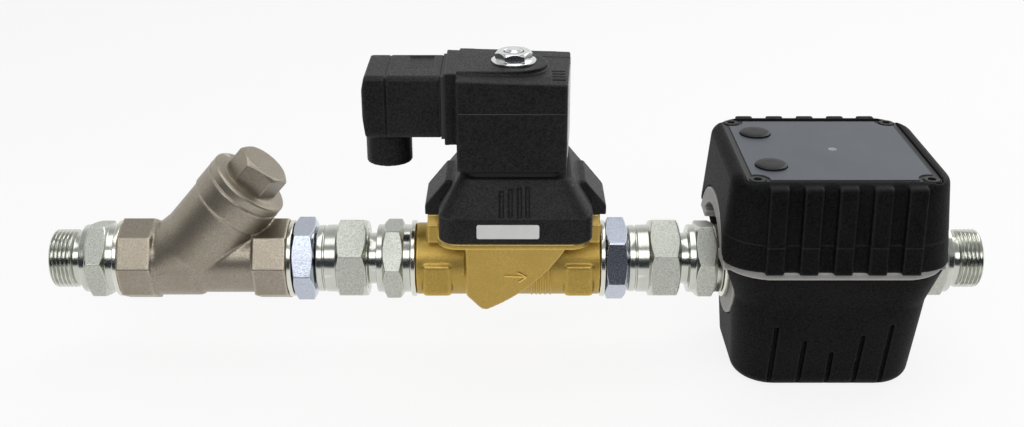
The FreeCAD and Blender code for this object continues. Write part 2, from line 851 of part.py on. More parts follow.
def strainer_cap():
    spigot = d.branch_cavity_diameter / 2 - d.moving_clearance
    flange = d.cap_flange_diameter / 2
    edge = cap_face + d.cap_flange_thickness
    hex_start = edge + d.cap_dome
    corner = d.cap_hex_flats * (HEX_CORNER / 2)
    recess = d.screen_diameter / 2
    plug = on_branch(turned("strainer_cap_plug", [
        (spigot_end, recess - d.screen_rim),
        (spigot_end, spigot),
        (cap_face, spigot),
        (cap_face, flange),
        (edge, flange),
        (hex_start, corner),
        (hex_start, 0),
        (cap_face, 0),
    ]))
    top = hex_start + d.cap_hex_length
    envelope = on_branch(turned("strainer_cap_envelope", [
        (edge, 0),
        (edge, corner),
        (top - d.hex_chamfer * 2, corner),
        (top - d.hex_chamfer / 2, corner - d.hex_chamfer * 2),
        (top, corner / 2),
        (top, 0),
    ]))
    bar = polygon_bar("strainer_cap_bar", 6, corner, d.cap_flange_thickness + d.cap_dome + d.cap_hex_length,
                      (branch_x + cap_face * d.branch_angle.cos(), 0, cap_face * d.branch_angle.sin()),
                      BRANCH_TURN.multiply(corner_at(CAP_TURN)))
    head = shared("strainer_cap_head", envelope, bar)
    parts["strainer_cap"] = joined("strainer_cap", plug, head)


# Levels of the valve, from the pipe axis up
flange_top = d.valve_flange_top
recess_floor = flange_top - d.diaphragm_thickness
chamber_floor = flange_top - d.servo_chamber_depth
seat_top = chamber_floor + d.seat_height
skirt_top = flange_top + d.cover_skirt_height
cover_top = skirt_top + d.cover_slope_height
room_roof = flange_top + d.cover_room_height
pilot_top = room_roof + d.cover_floor_thickness
coil_low = cover_top + d.coil_seal_height
coil_top = coil_low + d.coil_height
platform_top = coil_top + d.coil_platform_rise


def valve_bulge():
    """Cast belly under the seat: upright on the inlet side, curved up to the outlet, thinner at its toe."""
    body = doc.addObject("PartDesign::Body", "valve_bulge_panel")
    top = flange_top - d.valve_flange_thickness
    toe = d.bulge_toe_rise - d.bulge_low
    sketch = outline(body, "valve_bulge_outline", "XZ_Plane", [
        (-d.bulge_inlet_reach, top),
        (-d.bulge_inlet_reach, toe),
        (-d.bulge_toe_inlet, -d.bulge_low),
        (d.bulge_outlet_reach, -d.bulge_low),
        (d.bulge_outlet_reach, top),
    ])
    sketch.setExpression("AttachmentOffset.Base.z", (-d.bulge_depth / 2).text)
    pad = body.newObject("PartDesign::Pad", "valve_bulge_pad")
    pad.Profile = sketch
    tie(pad, Length=d.bulge_depth)
    doc.recompute()
    fillet = body.newObject("PartDesign::Fillet", "valve_bulge_round")
    fillet.Base = (pad, [f"Edge{index}" for index, edge in enumerate(pad.Shape.Edges, start=1)
                         if is_toe_corner(edge, top)])
    tie(fillet, Radius=d.bulge_radius)
    body.Tip = fillet
    place(body, (valve_axis_x, 0, 0), ALONG_Z)
    run, climb = d.bulge_toe_outlet + d.bulge_outlet_reach, d.bulge_low + top
    chord = (run * run + climb * climb).root()
    offset = (d.bulge_arc_radius * d.bulge_arc_radius - chord * chord / 4).root() / chord
    centre_x = (d.bulge_outlet_reach - d.bulge_toe_outlet) / 2 - climb * offset
    centre_z = (top - d.bulge_low) / 2 + run * offset
    arc = cylinder("valve_bulge_arc", d.bulge_arc_radius * 2, d.bulge_depth,
                   (valve_axis_x + centre_x, -d.bulge_depth / 2, centre_z), ALONG_Y)
    span = (d.bulge_inlet_reach + d.bulge_outlet_reach) * 2
    taper = wedge("valve_bulge_taper", (span, d.bulge_toe_depth), (span, d.bulge_depth), climb,
                  (valve_axis_x, 0, -d.bulge_low), WEDGE_UP)
    return shared("valve_bulge", shared("valve_bulge_curved", body, arc), taper)


def valve_pad(number, at):
    """Wrench flats cast on the front and back of a port."""
    block = box(f"valve_pad_block_{number}", d.valve_pad_length, d.valve_pad_across, d.valve_pad_height,
                at, size(0), -d.valve_pad_low)
    return rounded(f"valve_pad_{number}", block, (lambda edge: True, d.hex_chamfer * 2))


def lug_screw_places():
    for side in (-1, 1):
        for row_side in (-1, 1):
            yield cover_mid_x + d.cover_screw_place * side, d.cover_screw_spacing * (row_side / 2)


def valve_body():
    top = flange_top
    port = cylinder("valve_port", d.valve_port_diameter, d.valve_length, (valve_x, 0, 0), ALONG_X)
    half_pad = d.valve_pad_inset + d.valve_pad_length / 2
    pads = [valve_pad(1, valve_x + half_pad), valve_pad(2, valve_end_x - half_pad)]
    plate = rounded("valve_flange", box("valve_flange_block", d.valve_flange_width, d.valve_flange_depth,
                                        d.valve_flange_thickness, valve_axis_x, size(0),
                                        top - d.valve_flange_thickness),
                    (is_upright, d.valve_corner_radius))
    lugs = box("valve_lugs", d.valve_lug_reach * 2, d.valve_lug_width, d.valve_lug_thickness,
               valve_axis_x, size(0), top - d.valve_lug_thickness)
    bowl = cylinder("valve_bowl", d.valve_bowl_diameter, d.valve_bowl_depth,
                    (valve_axis_x, 0, top - d.valve_bowl_depth))
    blank = joined("valve_blank", port, *pads, plate, lugs, bowl, valve_bulge())
    recess = cylinder("valve_recess", d.diaphragm_diameter + d.port_clearance * 2, d.diaphragm_thickness,
                      (valve_axis_x, 0, recess_floor))
    chamber = ring("valve_chamber", d.seat_diameter, d.servo_chamber_diameter, 0,
                   recess_floor - chamber_floor, (valve_axis_x, 0, chamber_floor), TURNED_UP)
    over_seat = cylinder("valve_over_seat", d.seat_diameter, recess_floor - seat_top,
                         (valve_axis_x, 0, seat_top))
    seat_well = cylinder("valve_seat_well", d.seat_bore, seat_top, (valve_axis_x, 0, 0))
    socket_depth = d.port_tail_length + d.moving_clearance
    inlet_socket = cylinder("valve_inlet_socket", socket_diameter, socket_depth, (valve_x, 0, 0), ALONG_X)
    outlet_socket = cylinder("valve_outlet_socket", socket_diameter, socket_depth,
                             (valve_end_x - socket_depth, 0, 0), ALONG_X)
    inlet = cylinder("valve_inlet", d.flow_bore, d.valve_axis_place - d.transfer_place,
                     (valve_x, 0, 0), ALONG_X)
    outlet = cylinder("valve_outlet", d.flow_bore, d.valve_length - d.valve_axis_place,
                      (valve_axis_x, 0, 0), ALONG_X)
    transfer = cylinder("valve_transfer", d.transfer_bore, chamber_floor,
                        (valve_axis_x - d.transfer_place, 0, 0))
    holes = [cylinder(f"valve_screw_hole_{number}", d.cover_screw_diameter + d.port_clearance * 2,
                      d.valve_lug_thickness, (x, y, top - d.valve_lug_thickness))
             for number, (x, y) in enumerate(lug_screw_places(), start=1)]
    parts["valve_body"] = cut("valve_body", blank, recess, chamber, over_seat, seat_well, inlet_socket,
                              outlet_socket, inlet, outlet, transfer, *holes)


def servo_diaphragm():
    """Rubber membrane clamped at its rim, and the disc at its middle that closes the seat."""
    at = (valve_axis_x, 0, 0)
    hole = d.diaphragm_disc_diameter + d.moving_clearance * 2
    parts["diaphragm"] = ring("diaphragm", hole, d.diaphragm_diameter, recess_floor, d.diaphragm_thickness,
                              at, TURNED_UP)
    parts["diaphragm_disc"] = turned("diaphragm_disc", [
        (seat_top, 0),
        (seat_top, d.diaphragm_disc_diameter / 2),
        (flange_top, d.diaphragm_disc_diameter / 2),
        (flange_top, 0),
    ], at, TURNED_UP)
    parts["diaphragm_spring"] = helix_spring(
        "diaphragm_spring", d.servo_spring_diameter, d.servo_spring_wire, d.servo_spring_turns,
        d.cover_room_height, (valve_axis_x, 0, flange_top))


def valve_cover():
    low = flange_top
    skirt = rounded("cover_skirt", box("cover_skirt_block", d.cover_width, d.cover_depth,
                                       d.cover_skirt_height, cover_mid_x, size(0), low),
                    (is_upright, d.valve_corner_radius))
    slope = rounded("cover_slope", wedge("cover_slope_block", (d.cover_width, d.cover_depth),
                                         (d.cover_top_width, d.cover_top_depth), d.cover_slope_height,
                                         (cover_mid_x, 0, skirt_top), WEDGE_UP),
                    (is_upright, d.valve_corner_radius))
    wing_side = box("cover_wing_side", d.wing_reach * 2, d.wing_width, d.wing_side_height,
                    cover_mid_x, size(0), low)
    wing_slope = wedge("cover_wing_slope", (d.wing_reach * 2, d.wing_width),
                       (d.wing_top_reach * 2, d.wing_width), d.wing_slope_height,
                       (cover_mid_x, 0, low + d.wing_side_height), WEDGE_UP)
    blank = joined("cover_blank", skirt, slope, wing_side, wing_slope)
    room = cylinder("cover_room", d.cover_room_diameter, d.cover_room_height, (valve_axis_x, 0, low))
    pilot = cylinder("cover_pilot", d.pilot_bore, pilot_top - low, (valve_axis_x, 0, low))
    socket = cylinder("cover_socket", d.tube_base_diameter + d.port_clearance * 2, cover_top - pilot_top,
                      (valve_axis_x, 0, pilot_top))
    tools = [room, pilot, socket]
    height = d.wing_side_height + d.wing_slope_height
    for number, (x, y) in enumerate(lug_screw_places(), start=1):
        tools.append(cylinder(f"cover_screw_hole_{number}", d.cover_screw_diameter + d.port_clearance * 2,
                              height, (x, y, low)))
        tools.append(cylinder(f"cover_screw_pocket_{number}", d.cover_screw_head + d.moving_clearance * 2,
                              height, (x, y, low + d.cover_screw_grip)))
    parts["valve_cover"] = cut("valve_cover", blank, *tools)


def cap_screw(name, diameter, length, head, head_height, at, rotation):
    """Socket head screw with its head's underside at a point, its own X axis towards the head."""
    shank, rim, socket = diameter / 2, head / 2, head / 4
    return turned(name, [
        (-length, 0),
        (-length, shank),
        (0, shank),
        (0, rim),
        (head_height, rim),
        (head_height, socket),
        (head_height / 2, socket),
        (head_height / 2, 0),
    ], at, rotation)


def cover_screws():
    length = d.cover_screw_grip + d.valve_lug_thickness
    screws = [cap_screw(f"cover_screw_{number}", d.cover_screw_diameter, length, d.cover_screw_head,
                        d.cover_screw_head_height, (x, y, flange_top + d.cover_screw_grip), TURNED_UP)
              for number, (x, y) in enumerate(lug_screw_places(), start=1)]
    parts["cover_screws"] = group("cover_screws", screws)


def armature():
    """Guide tube with its fixed core and stud, the plunger inside, its return spring and pilot seal."""
    at = (valve_axis_x, 0, 0)
    bore = d.tube_bore / 2
    base_top = pilot_top + d.tube_base_height
    bore_top = pilot_top + d.tube_bore_length
    stud = d.tube_stud_diameter / 2
    nut_top = platform_top + d.coil_washer_thickness + d.coil_nut_height
    parts["armature_tube"] = turned("armature_tube", [
        (pilot_top, bore),
        (pilot_top, d.tube_base_diameter / 2),
        (base_top, d.tube_base_diameter / 2),
        (base_top, d.tube_diameter / 2),
        (coil_top, d.tube_diameter / 2),
        (coil_top, stud),
        (nut_top, stud),
        (nut_top + d.coil_stud_proud, d.tube_stud_tip / 2),
        (nut_top + d.coil_stud_proud, 0),
        (bore_top, 0),
        (bore_top, bore),
    ], at, TURNED_UP)
    plunger = bore - d.running_clearance
    low = pilot_top + d.pilot_seal_height
    top = low + d.plunger_length
    pocket = d.plunger_pocket_diameter / 2
    parts["armature_plunger"] = turned("armature_plunger", [
        (low, 0),
        (low, plunger),
        (top, plunger),
        (top, pocket),
        (top - d.plunger_pocket_depth, pocket),
        (top - d.plunger_pocket_depth, 0),
    ], at, TURNED_UP)
    parts["pilot_seal"] = turned("pilot_seal", [
        (pilot_top, 0),
        (pilot_top, d.pilot_seal_diameter / 2),
        (low, d.pilot_seal_diameter / 2),
        (low, 0),
    ], at, TURNED_UP)
    spring_low = top - d.plunger_pocket_depth
    parts["plunger_spring"] = helix_spring(
        "plunger_spring", d.plunger_spring_diameter, d.plunger_spring_wire, d.plunger_spring_turns,
        bore_top - spring_low, (valve_axis_x, 0, spring_low))


yoke_bottom = coil_low + d.yoke_low
winding_bottom = yoke_bottom + d.yoke_thickness
winding_top = winding_bottom + d.winding_height
coil_mid_z = coil_low + d.coil_boss_low + (d.coil_height - d.coil_boss_low) / 2
boss_face_x = valve_axis_x - d.coil_boss_reach


def coil():
    """Moulded coil: winding and yoke plates inside, a boss for the plug on the inlet side."""
    at = (valve_axis_x, 0, 0)
    hole = d.tube_diameter + d.port_clearance * 2
    body = doc.addObject("PartDesign::Body", "coil_block")
    depth = d.coil_depth / 2
    far_reach = d.coil_outlet_reach + d.coil_back_flare
    sketch = outline(body, "coil_plan", "XY_Plane", [
        (-d.coil_inlet_reach, -depth),
        (d.coil_outlet_reach, -depth),
        (far_reach, depth),
        (-d.coil_inlet_reach, depth),
    ])
    pad = body.newObject("PartDesign::Pad", "coil_pad")
    pad.Profile = sketch
    tie(pad, Length=d.coil_height)
    doc.recompute()
    fillet = body.newObject("PartDesign::Fillet", "coil_round")
    fillet.Base = (pad, [f"Edge{index}" for index, edge in enumerate(pad.Shape.Edges, start=1)
                         if is_upright(edge)])
    tie(fillet, Radius=d.coil_corner_radius)
    slope = outline(body, "coil_top_slope", "XZ_Plane", [
        (-d.coil_inlet_reach, d.coil_height),
        (far_reach + d.coil_back_flare, d.coil_height - d.coil_top_drop),
        (far_reach + d.coil_back_flare, d.coil_height + d.coil_top_drop),
    ])
    slope.setExpression("AttachmentOffset.Base.z", (-d.coil_depth).text)
    pocket = body.newObject("PartDesign::Pocket", "coil_top_cut")
    pocket.Profile = slope
    pocket.Reversed = True
    tie(pocket, Length=d.coil_depth * 2)
    body.Tip = pocket
    place(body, (valve_axis_x, 0, coil_low), ALONG_Z)
    boss_height = d.coil_height + d.coil_platform_rise - d.coil_boss_low
    boss = wedge("coil_boss", (d.coil_boss_depth, boss_height), (d.coil_platform_diameter, boss_height),
                 d.coil_boss_reach, (boss_face_x, 0, platform_top - boss_height / 2), WEDGE_ALONG)
    platform = cylinder("coil_platform", d.coil_platform_diameter, d.coil_height + d.coil_platform_rise,
                        (valve_axis_x, 0, coil_low))
    blank = joined("coil_blank", body, boss, platform)
    cavity = cylinder("coil_cavity", d.winding_diameter + d.port_clearance * 2,
                      d.winding_height + d.yoke_thickness * 2, (valve_axis_x, 0, yoke_bottom))
    guide = cylinder("coil_guide", hole, d.coil_height * 2, (valve_axis_x, 0, coil_low))
    tools = [cavity, guide]
    tools += [contact(f"coil_slot_{number}", place_yz, d.port_clearance)
              for number, place_yz in enumerate(contact_places(), start=1)]
    tools.append(cylinder("coil_screw_hole", d.plug_screw_diameter + d.port_clearance * 2,
                          d.contact_root * 2, (boss_face_x, 0, coil_mid_z), ALONG_X))
    parts["coil_housing"] = cut("coil_housing", blank, *tools)
    parts["coil_winding"] = ring("coil_winding", d.winding_bore, d.winding_diameter, winding_bottom,
                                 d.winding_height, at, TURNED_UP)
    plates = [ring("coil_yoke_low", hole, d.winding_diameter, yoke_bottom, d.yoke_thickness, at, TURNED_UP),
              ring("coil_yoke_high", hole, d.winding_diameter, winding_top, d.yoke_thickness, at, TURNED_UP)]
    parts["coil_yoke_plates"] = group("coil_yoke_plates", plates)
    seal = rounded("coil_seal_block", box("coil_seal_plate", d.coil_seal_width, d.coil_seal_width,
                                          d.coil_seal_height, valve_axis_x, size(0), cover_top),
                   (is_upright, d.coil_seal_radius))
    seal_hole = cylinder("coil_seal_hole", d.tube_diameter + d.moving_clearance * 2, d.coil_seal_height,
                         (valve_axis_x, 0, cover_top))
    parts["coil_base_seal"] = cut("coil_base_seal", seal, seal_hole)


def coil_fastening():
    at = (valve_axis_x, 0, 0)
    bore = d.tube_stud_diameter + d.port_clearance * 2
    parts["coil_washer"] = ring("coil_washer", bore, d.coil_washer_diameter, platform_top,
                                d.coil_washer_thickness, at, TURNED_UP)
    low = platform_top + d.coil_washer_thickness
    corner = d.coil_nut_flats * (HEX_CORNER / 2)
    top = low + d.coil_nut_height
    envelope = turned("coil_nut_envelope", [
        (low, bore / 2),
        (low, corner),
        (top - d.hex_chamfer / 2, corner),
        (top, corner - d.hex_chamfer * (CONE_RISE / 2)),
        (top, bore / 2),
    ], at, TURNED_UP)
    bar = polygon_bar("coil_nut_bar", 6, corner, d.coil_nut_height, (valve_axis_x, 0, low), ALONG_Z)
    parts["coil_nut"] = shared("coil_nut", envelope, bar)


def blank_labels():
    """Plain label plates: one on the cover's front skirt, one on the coil's outlet side."""
    front = box("valve_label", d.valve_label_width, d.label_thickness, d.valve_label_height,
                valve_axis_x - d.valve_label_shift, -(d.cover_depth + d.label_thickness) / 2,
                flange_top + d.valve_label_rise)
    side = doc.addObject("Part::Box", "coil_label")
    tie(side, Length=d.label_thickness, Width=d.coil_label_depth, Height=d.coil_label_height)
    lean = math.degrees(math.atan2(d.coil_back_flare.value, d.coil_depth.value))
    share = (d.coil_depth - d.coil_label_depth) / (d.coil_depth * 2)
    place(side, (valve_axis_x + d.coil_outlet_reach + d.coil_back_flare * share,
                 -d.coil_label_depth / 2, coil_low + (d.coil_height - d.coil_label_height) / 2),
          FreeCAD.Rotation(FreeCAD.Vector(0, 0, -1), lean))
    parts["blank_labels"] = group("blank_labels", [front, side])


def contact_places():
    """Places of the flat contacts in the plug face: two at the sides and one below."""
    half = d.contact_spacing / 2
    yield (-half, coil_mid_z, False)
    yield (half, coil_mid_z, False)
    yield (size(0), coil_mid_z - half, True)


def contact(name, place_yz, clearance):
    """A flat contact that stands out of the coil's boss towards the inlet, or the slot for it."""
    y, z, level = place_yz
    width, depth = d.contact_thickness, d.contact_width
    if level:
        width, depth = depth, width
    length = d.contact_reach + d.contact_root + d.plug_gasket_thickness
    room = size(clearance) * 2
    centre_x = boss_face_x + d.contact_root - length / 2
    return box(name, length + room, width + room, depth + room, centre_x, y, z - (depth + room) / 2)


plug_face_x = boss_face_x - d.plug_gasket_thickness
plug_end_x = plug_face_x - d.plug_length
plug_mid_x = plug_face_x - d.plug_length / 2
plug_top = coil_top - d.plug_drop
plug_low = plug_top - d.plug_height
gland_x = plug_end_x + d.gland_place
gland_low = plug_low - d.gland_reach


def cable_plug():
    """Angled cable plug: gasket, hollow housing with a gland barrel, terminal block, contacts and screw."""
    slots = [contact(f"gasket_slot_{number}", spot, d.port_clearance)
             for number, spot in enumerate(contact_places(), start=1)]
    screw_room = cylinder("plug_screw_room", d.plug_screw_diameter + d.moving_clearance * 2,
                          d.plug_length * 2, (plug_end_x, 0, coil_mid_z), ALONG_X)
    inner_depth = d.plug_depth - d.plug_wall * 2
    inner_height = d.plug_height - d.plug_wall * 2
    pad = box("plug_gasket_pad", d.plug_gasket_thickness, d.plug_depth, d.plug_height,
              plug_face_x + d.plug_gasket_thickness / 2, size(0), plug_low)
    parts["plug_gasket"] = cut("plug_gasket", pad, screw_room, *slots)
    shell = rounded("plug_shell", box("plug_block", d.plug_length, d.plug_depth, d.plug_height,
                                      plug_mid_x, size(0), plug_low),
                    (lambda edge: edge.CenterOfMass.x < plug_face_x.value - 1e-6, d.plug_corner_radius))
    barrel = cylinder("plug_barrel", d.gland_diameter, d.gland_reach + d.plug_wall, (gland_x, 0, gland_low))
    inner_length = d.plug_length - d.plug_wall * 2
    inner = box("plug_inner", inner_length, inner_depth, inner_height,
                plug_face_x - inner_length / 2, size(0), plug_low + d.plug_wall)
    wire_room = cylinder("plug_wire_room", d.gland_socket_diameter, d.gland_reach + d.plug_wall * 2,
                         (gland_x, 0, gland_low))
    head_room = cylinder("plug_head_room", d.plug_screw_head + d.moving_clearance * 2, d.plug_wall,
                         (plug_end_x, 0, coil_mid_z), ALONG_X)
    pillar = cylinder("plug_pillar", d.plug_screw_head + d.plug_wall * 2, d.plug_length / 2,
                      (plug_end_x + d.plug_wall, 0, coil_mid_z), ALONG_X)
    hollow = cut("plug_hollow", joined("plug_blank", shell, barrel), inner, wire_room)
    parts["plug_housing"] = cut("plug_housing", joined("plug_body", hollow, pillar), head_room, screw_room)
    block = box("terminal_blank", d.terminal_length, inner_depth - d.port_clearance * 2,
                inner_height - d.port_clearance * 2, plug_face_x - d.terminal_length / 2, size(0),
                plug_low + d.plug_wall + d.port_clearance)
    block_slots = [contact(f"terminal_slot_{number}", spot, d.port_clearance)
                   for number, spot in enumerate(contact_places(), start=1)]
    pillar_room = cylinder("terminal_pillar_room", d.plug_screw_head + d.plug_wall * 2 + d.port_clearance * 2,
                           d.plug_length / 2 + d.port_clearance, (plug_end_x + d.plug_wall, 0, coil_mid_z),
                           ALONG_X)
    block_screw_room = cylinder("terminal_screw_room", d.plug_screw_diameter + d.moving_clearance * 2,
                                d.plug_length, (plug_end_x, 0, coil_mid_z), ALONG_X)
    parts["terminal_block"] = cut("terminal_block", block, pillar_room, block_screw_room, *block_slots)
    parts["contact_pins"] = group("contact_pins", [contact(f"contact_{number}", spot, 0)
                                                   for number, spot in enumerate(contact_places(), start=1)])
    screw_length = d.plug_length - d.plug_wall + d.plug_gasket_thickness + d.contact_root
    parts["plug_screw"] = cap_screw("plug_screw", d.plug_screw_diameter, screw_length, d.plug_screw_head,
                                    d.plug_screw_head_height, (plug_end_x + d.plug_wall, 0, coil_mid_z),
                                    TURNED_BACK)


def cable_gland():
    at = (gland_x, 0, 0)
    outer = d.gland_socket_diameter - d.port_clearance * 2
    seal_low = gland_low + d.gland_nut_height
    parts["gland_nut"] = ring("gland_nut", d.cable_bore, outer, gland_low, d.gland_nut_height, at, TURNED_UP)
    parts["gland_seal"] = ring("gland_seal", d.cable_bore, outer, seal_low, d.gland_seal_height,
                               at, TURNED_UP)


# Levels of the meter, from the pipe axis up and down
band_top = d.band_low + d.band_thickness
gasket_top = -d.meter_block_low
gasket_low = gasket_top - d.chamber_gasket_thickness
gear_low = gasket_low + d.gear_end_clearance
gear_top = gear_low + d.gear_face
chamber_top = gear_top + d.gear_end_clearance
plate_low = gasket_low - d.chamber_cover_thickness
axle_low = gasket_low - d.axle_seat
axle_top = chamber_top + d.axle_seat
gear_tip = d.gear_centres / 2 + d.gear_addendum
gear_places = {"a": -d.gear_centres / 2, "b": d.gear_centres / 2}
case_top = band_top + d.case_height
case_width = d.face_screw_spacing + d.case_screw_edge * 2
case_depth = d.face_screw_spacing + d.case_front_edge * 2
board_width = d.face_screw_spacing - d.board_screw_gap * 2
band_width = case_width + d.band_lip * 2
band_depth = case_depth + d.band_front_lip * 2
upper_boot_width = case_width + d.upper_boot_wall * 2
upper_boot_depth = case_depth + d.upper_boot_front_wall * 2
upper_boot_top_width = case_width + d.upper_boot_top_wall * 2
upper_boot_top_depth = case_depth + d.upper_boot_top_front_wall * 2
port_rim_reach = upper_boot_width / 2 - d.port_rim_inset
face_top = case_top + d.face_thickness
board_low = band_top + d.case_wall + d.board_rise
board_top = board_low + d.board_thickness


def meter_block(name, height, low):
    block = box(name + "_block", d.meter_block_width, d.meter_block_depth, height, meter_mid_x, size(0), low)
    return rounded(name, block, (is_upright, d.meter_block_radius))


def chamber_room(name, low, height):
    """Space for both gears with a passage across their mesh."""
    pocket = (gear_tip + d.gear_tip_clearance) * 2
    pockets = [cylinder(f"{name}_pocket_{letter}", pocket, height, (meter_mid_x, y, low))
               for letter, y in gear_places.items()]
    lane = box(name + "_lane", (d.passage_place + d.passage_bore / 2) * 2, d.passage_bore, height,
               meter_mid_x, size(0), low)
    return joined(name, *pockets, lane)


def chamber_screw_places():
    across = d.meter_block_width / 2 - d.chamber_screw_edge
    back = d.meter_block_depth / 2 - d.chamber_screw_edge
    for side in (-1, 1):
        for row_side in (-1, 1):
            yield meter_mid_x + across * side, back * row_side


def port_rooms(name, diameter, level, reach):
    """Round room at a level outside both ports, from this far off the meter's middle."""
    length = upper_boot_width
    inlet_x = meter_mid_x - reach - length
    inlet = cylinder(name + "_inlet_room", diameter, length, (inlet_x, 0, level), ALONG_X)
    outlet = cylinder(name + "_outlet_room", diameter, length, (meter_mid_x + reach, 0, level), ALONG_X)
    return inlet, outlet


def port_bosses(name, growth):
    """The cast boss round each port, made longer and wider by a growth on every side."""
    diameter = d.meter_boss_diameter + growth * 2
    length = d.meter_boss_length + growth
    inlet = cylinder(name + "_inlet", diameter, length, (meter_x, 0, 0), ALONG_X)
    outlet = cylinder(name + "_outlet", diameter, length, (meter_end_x - length, 0, 0), ALONG_X)
    return inlet, outlet


def port_rims(name, growth, reach):
    """Cast rim that arches over each port, grown all round and ending at a reach from the middle."""
    diameter = d.port_rim_diameter + growth * 2
    back = d.meter_length / 2 - d.port_rim_back - growth
    level = -d.port_rim_drop
    inlet = cylinder(name + "_inlet", diameter, reach - back, (meter_mid_x - reach, 0, level), ALONG_X)
    outlet = cylinder(name + "_outlet", diameter, reach - back, (meter_mid_x + back, 0, level), ALONG_X)
    return inlet, outlet


def port_discs(name):
    """Flat face of the casting round each port, inside the lower boot's opening."""
    diameter = d.port_room_diameter - d.boot_clearance * 2
    inlet = cylinder(name + "_inlet", diameter, d.port_rim_back, (meter_x, 0, 0), ALONG_X)
    outlet = cylinder(name + "_outlet", diameter, d.port_rim_back, (meter_end_x - d.port_rim_back, 0, 0),
                      ALONG_X)
    return inlet, outlet


def meter_body():
    block = meter_block("meter_core", d.meter_block_low + band_top, -d.meter_block_low)
    band = rounded("meter_band", box("meter_band_block", band_width, band_depth, d.band_thickness,
                                     meter_mid_x, size(0), d.band_low),
                   (is_upright, d.band_radius))
    above = box("meter_rim_room", band_width * 2, band_depth, d.port_room_diameter, meter_mid_x, size(0),
                d.band_low)
    bars = shared("meter_rim_bars", above,
                  joined("meter_rim_blank", *port_rims("meter_rim", size(0), port_rim_reach)))
    rims = cut("meter_rims", bars, *port_rooms("meter_rim", d.port_rim_diameter - d.port_rim_wall * 2,
                                               -d.port_rim_drop, d.meter_length / 2))
    blank = joined("meter_blank", block, *port_bosses("meter_boss", size(0)), *port_discs("meter_disc"),
                   band, rims)
    socket_depth = d.port_tail_length + d.moving_clearance
    tools = [*port_rooms("meter", d.port_room_diameter, size(0), d.meter_length / 2),
             chamber_room("meter_chamber", gasket_top, chamber_top - gasket_top)]
    for name, face, side in (("inlet", meter_x, 1), ("outlet", meter_end_x, -1)):
        start = face if side > 0 else face - socket_depth
        tools.append(cylinder(f"meter_{name}_socket", socket_diameter, socket_depth, (start, 0, 0), ALONG_X))
        reach = d.meter_length / 2 - d.passage_place
        start = face if side > 0 else face - reach
        tools.append(cylinder(f"meter_{name}_passage", d.passage_bore, reach, (start, 0, 0), ALONG_X))
        tools.append(cylinder(f"meter_{name}_drop", d.passage_bore, d.meter_block_low,
                              (meter_mid_x - d.passage_place * side, 0, gasket_top)))
    for letter, y in gear_places.items():
        tools.append(cylinder(f"meter_axle_hole_{letter}", d.axle_diameter + d.port_clearance * 2,
                              d.axle_seat, (meter_mid_x, y, chamber_top)))
    for number, (x, y) in enumerate(chamber_screw_places(), start=1):
        tools.append(cylinder(f"meter_screw_hole_{number}", d.chamber_screw_diameter + d.port_clearance * 2,
                              d.chamber_screw_grip, (x, y, gasket_top)))
    parts["meter_body"] = cut("meter_body", blank, *tools)


def chamber_closure():
    """Gasket and bottom plate of the measuring chamber, with their screws."""
    hole = d.chamber_screw_diameter + d.port_clearance * 2
    sheet_blank = meter_block("chamber_gasket_sheet", d.chamber_gasket_thickness, gasket_low)
    tools = [chamber_room("gasket_window", gasket_low, d.chamber_gasket_thickness)]
    plate = meter_block("chamber_plate", d.chamber_cover_thickness, plate_low)
    plate_tools = [cylinder(f"plate_axle_hole_{letter}", d.axle_diameter + d.port_clearance * 2, d.axle_seat,
                            (meter_mid_x, y, axle_low)) for letter, y in gear_places.items()]
    screws = []
    for number, (x, y) in enumerate(chamber_screw_places(), start=1):
        tools.append(cylinder(f"gasket_screw_hole_{number}", hole, d.chamber_gasket_thickness,
                              (x, y, gasket_low)))
        plate_tools.append(cylinder(f"plate_screw_hole_{number}", hole, d.chamber_cover_thickness,
                                    (x, y, plate_low)))
        screw = cap_screw(f"chamber_screw_{number}", d.chamber_screw_diameter,
                          d.chamber_cover_thickness + d.chamber_gasket_thickness + d.chamber_screw_grip,
                          d.chamber_screw_head, d.chamber_screw_head_height, (x, y, plate_low),
                          FreeCAD.Rotation(FreeCAD.Vector(0, 1, 0), 90))
        screws.append(screw)
    parts["chamber_gasket"] = cut("chamber_gasket", sheet_blank, *tools)
    parts["chamber_cover"] = cut("chamber_cover", plate, *plate_tools)
    parts["chamber_screws"] = group("chamber_screws", screws)


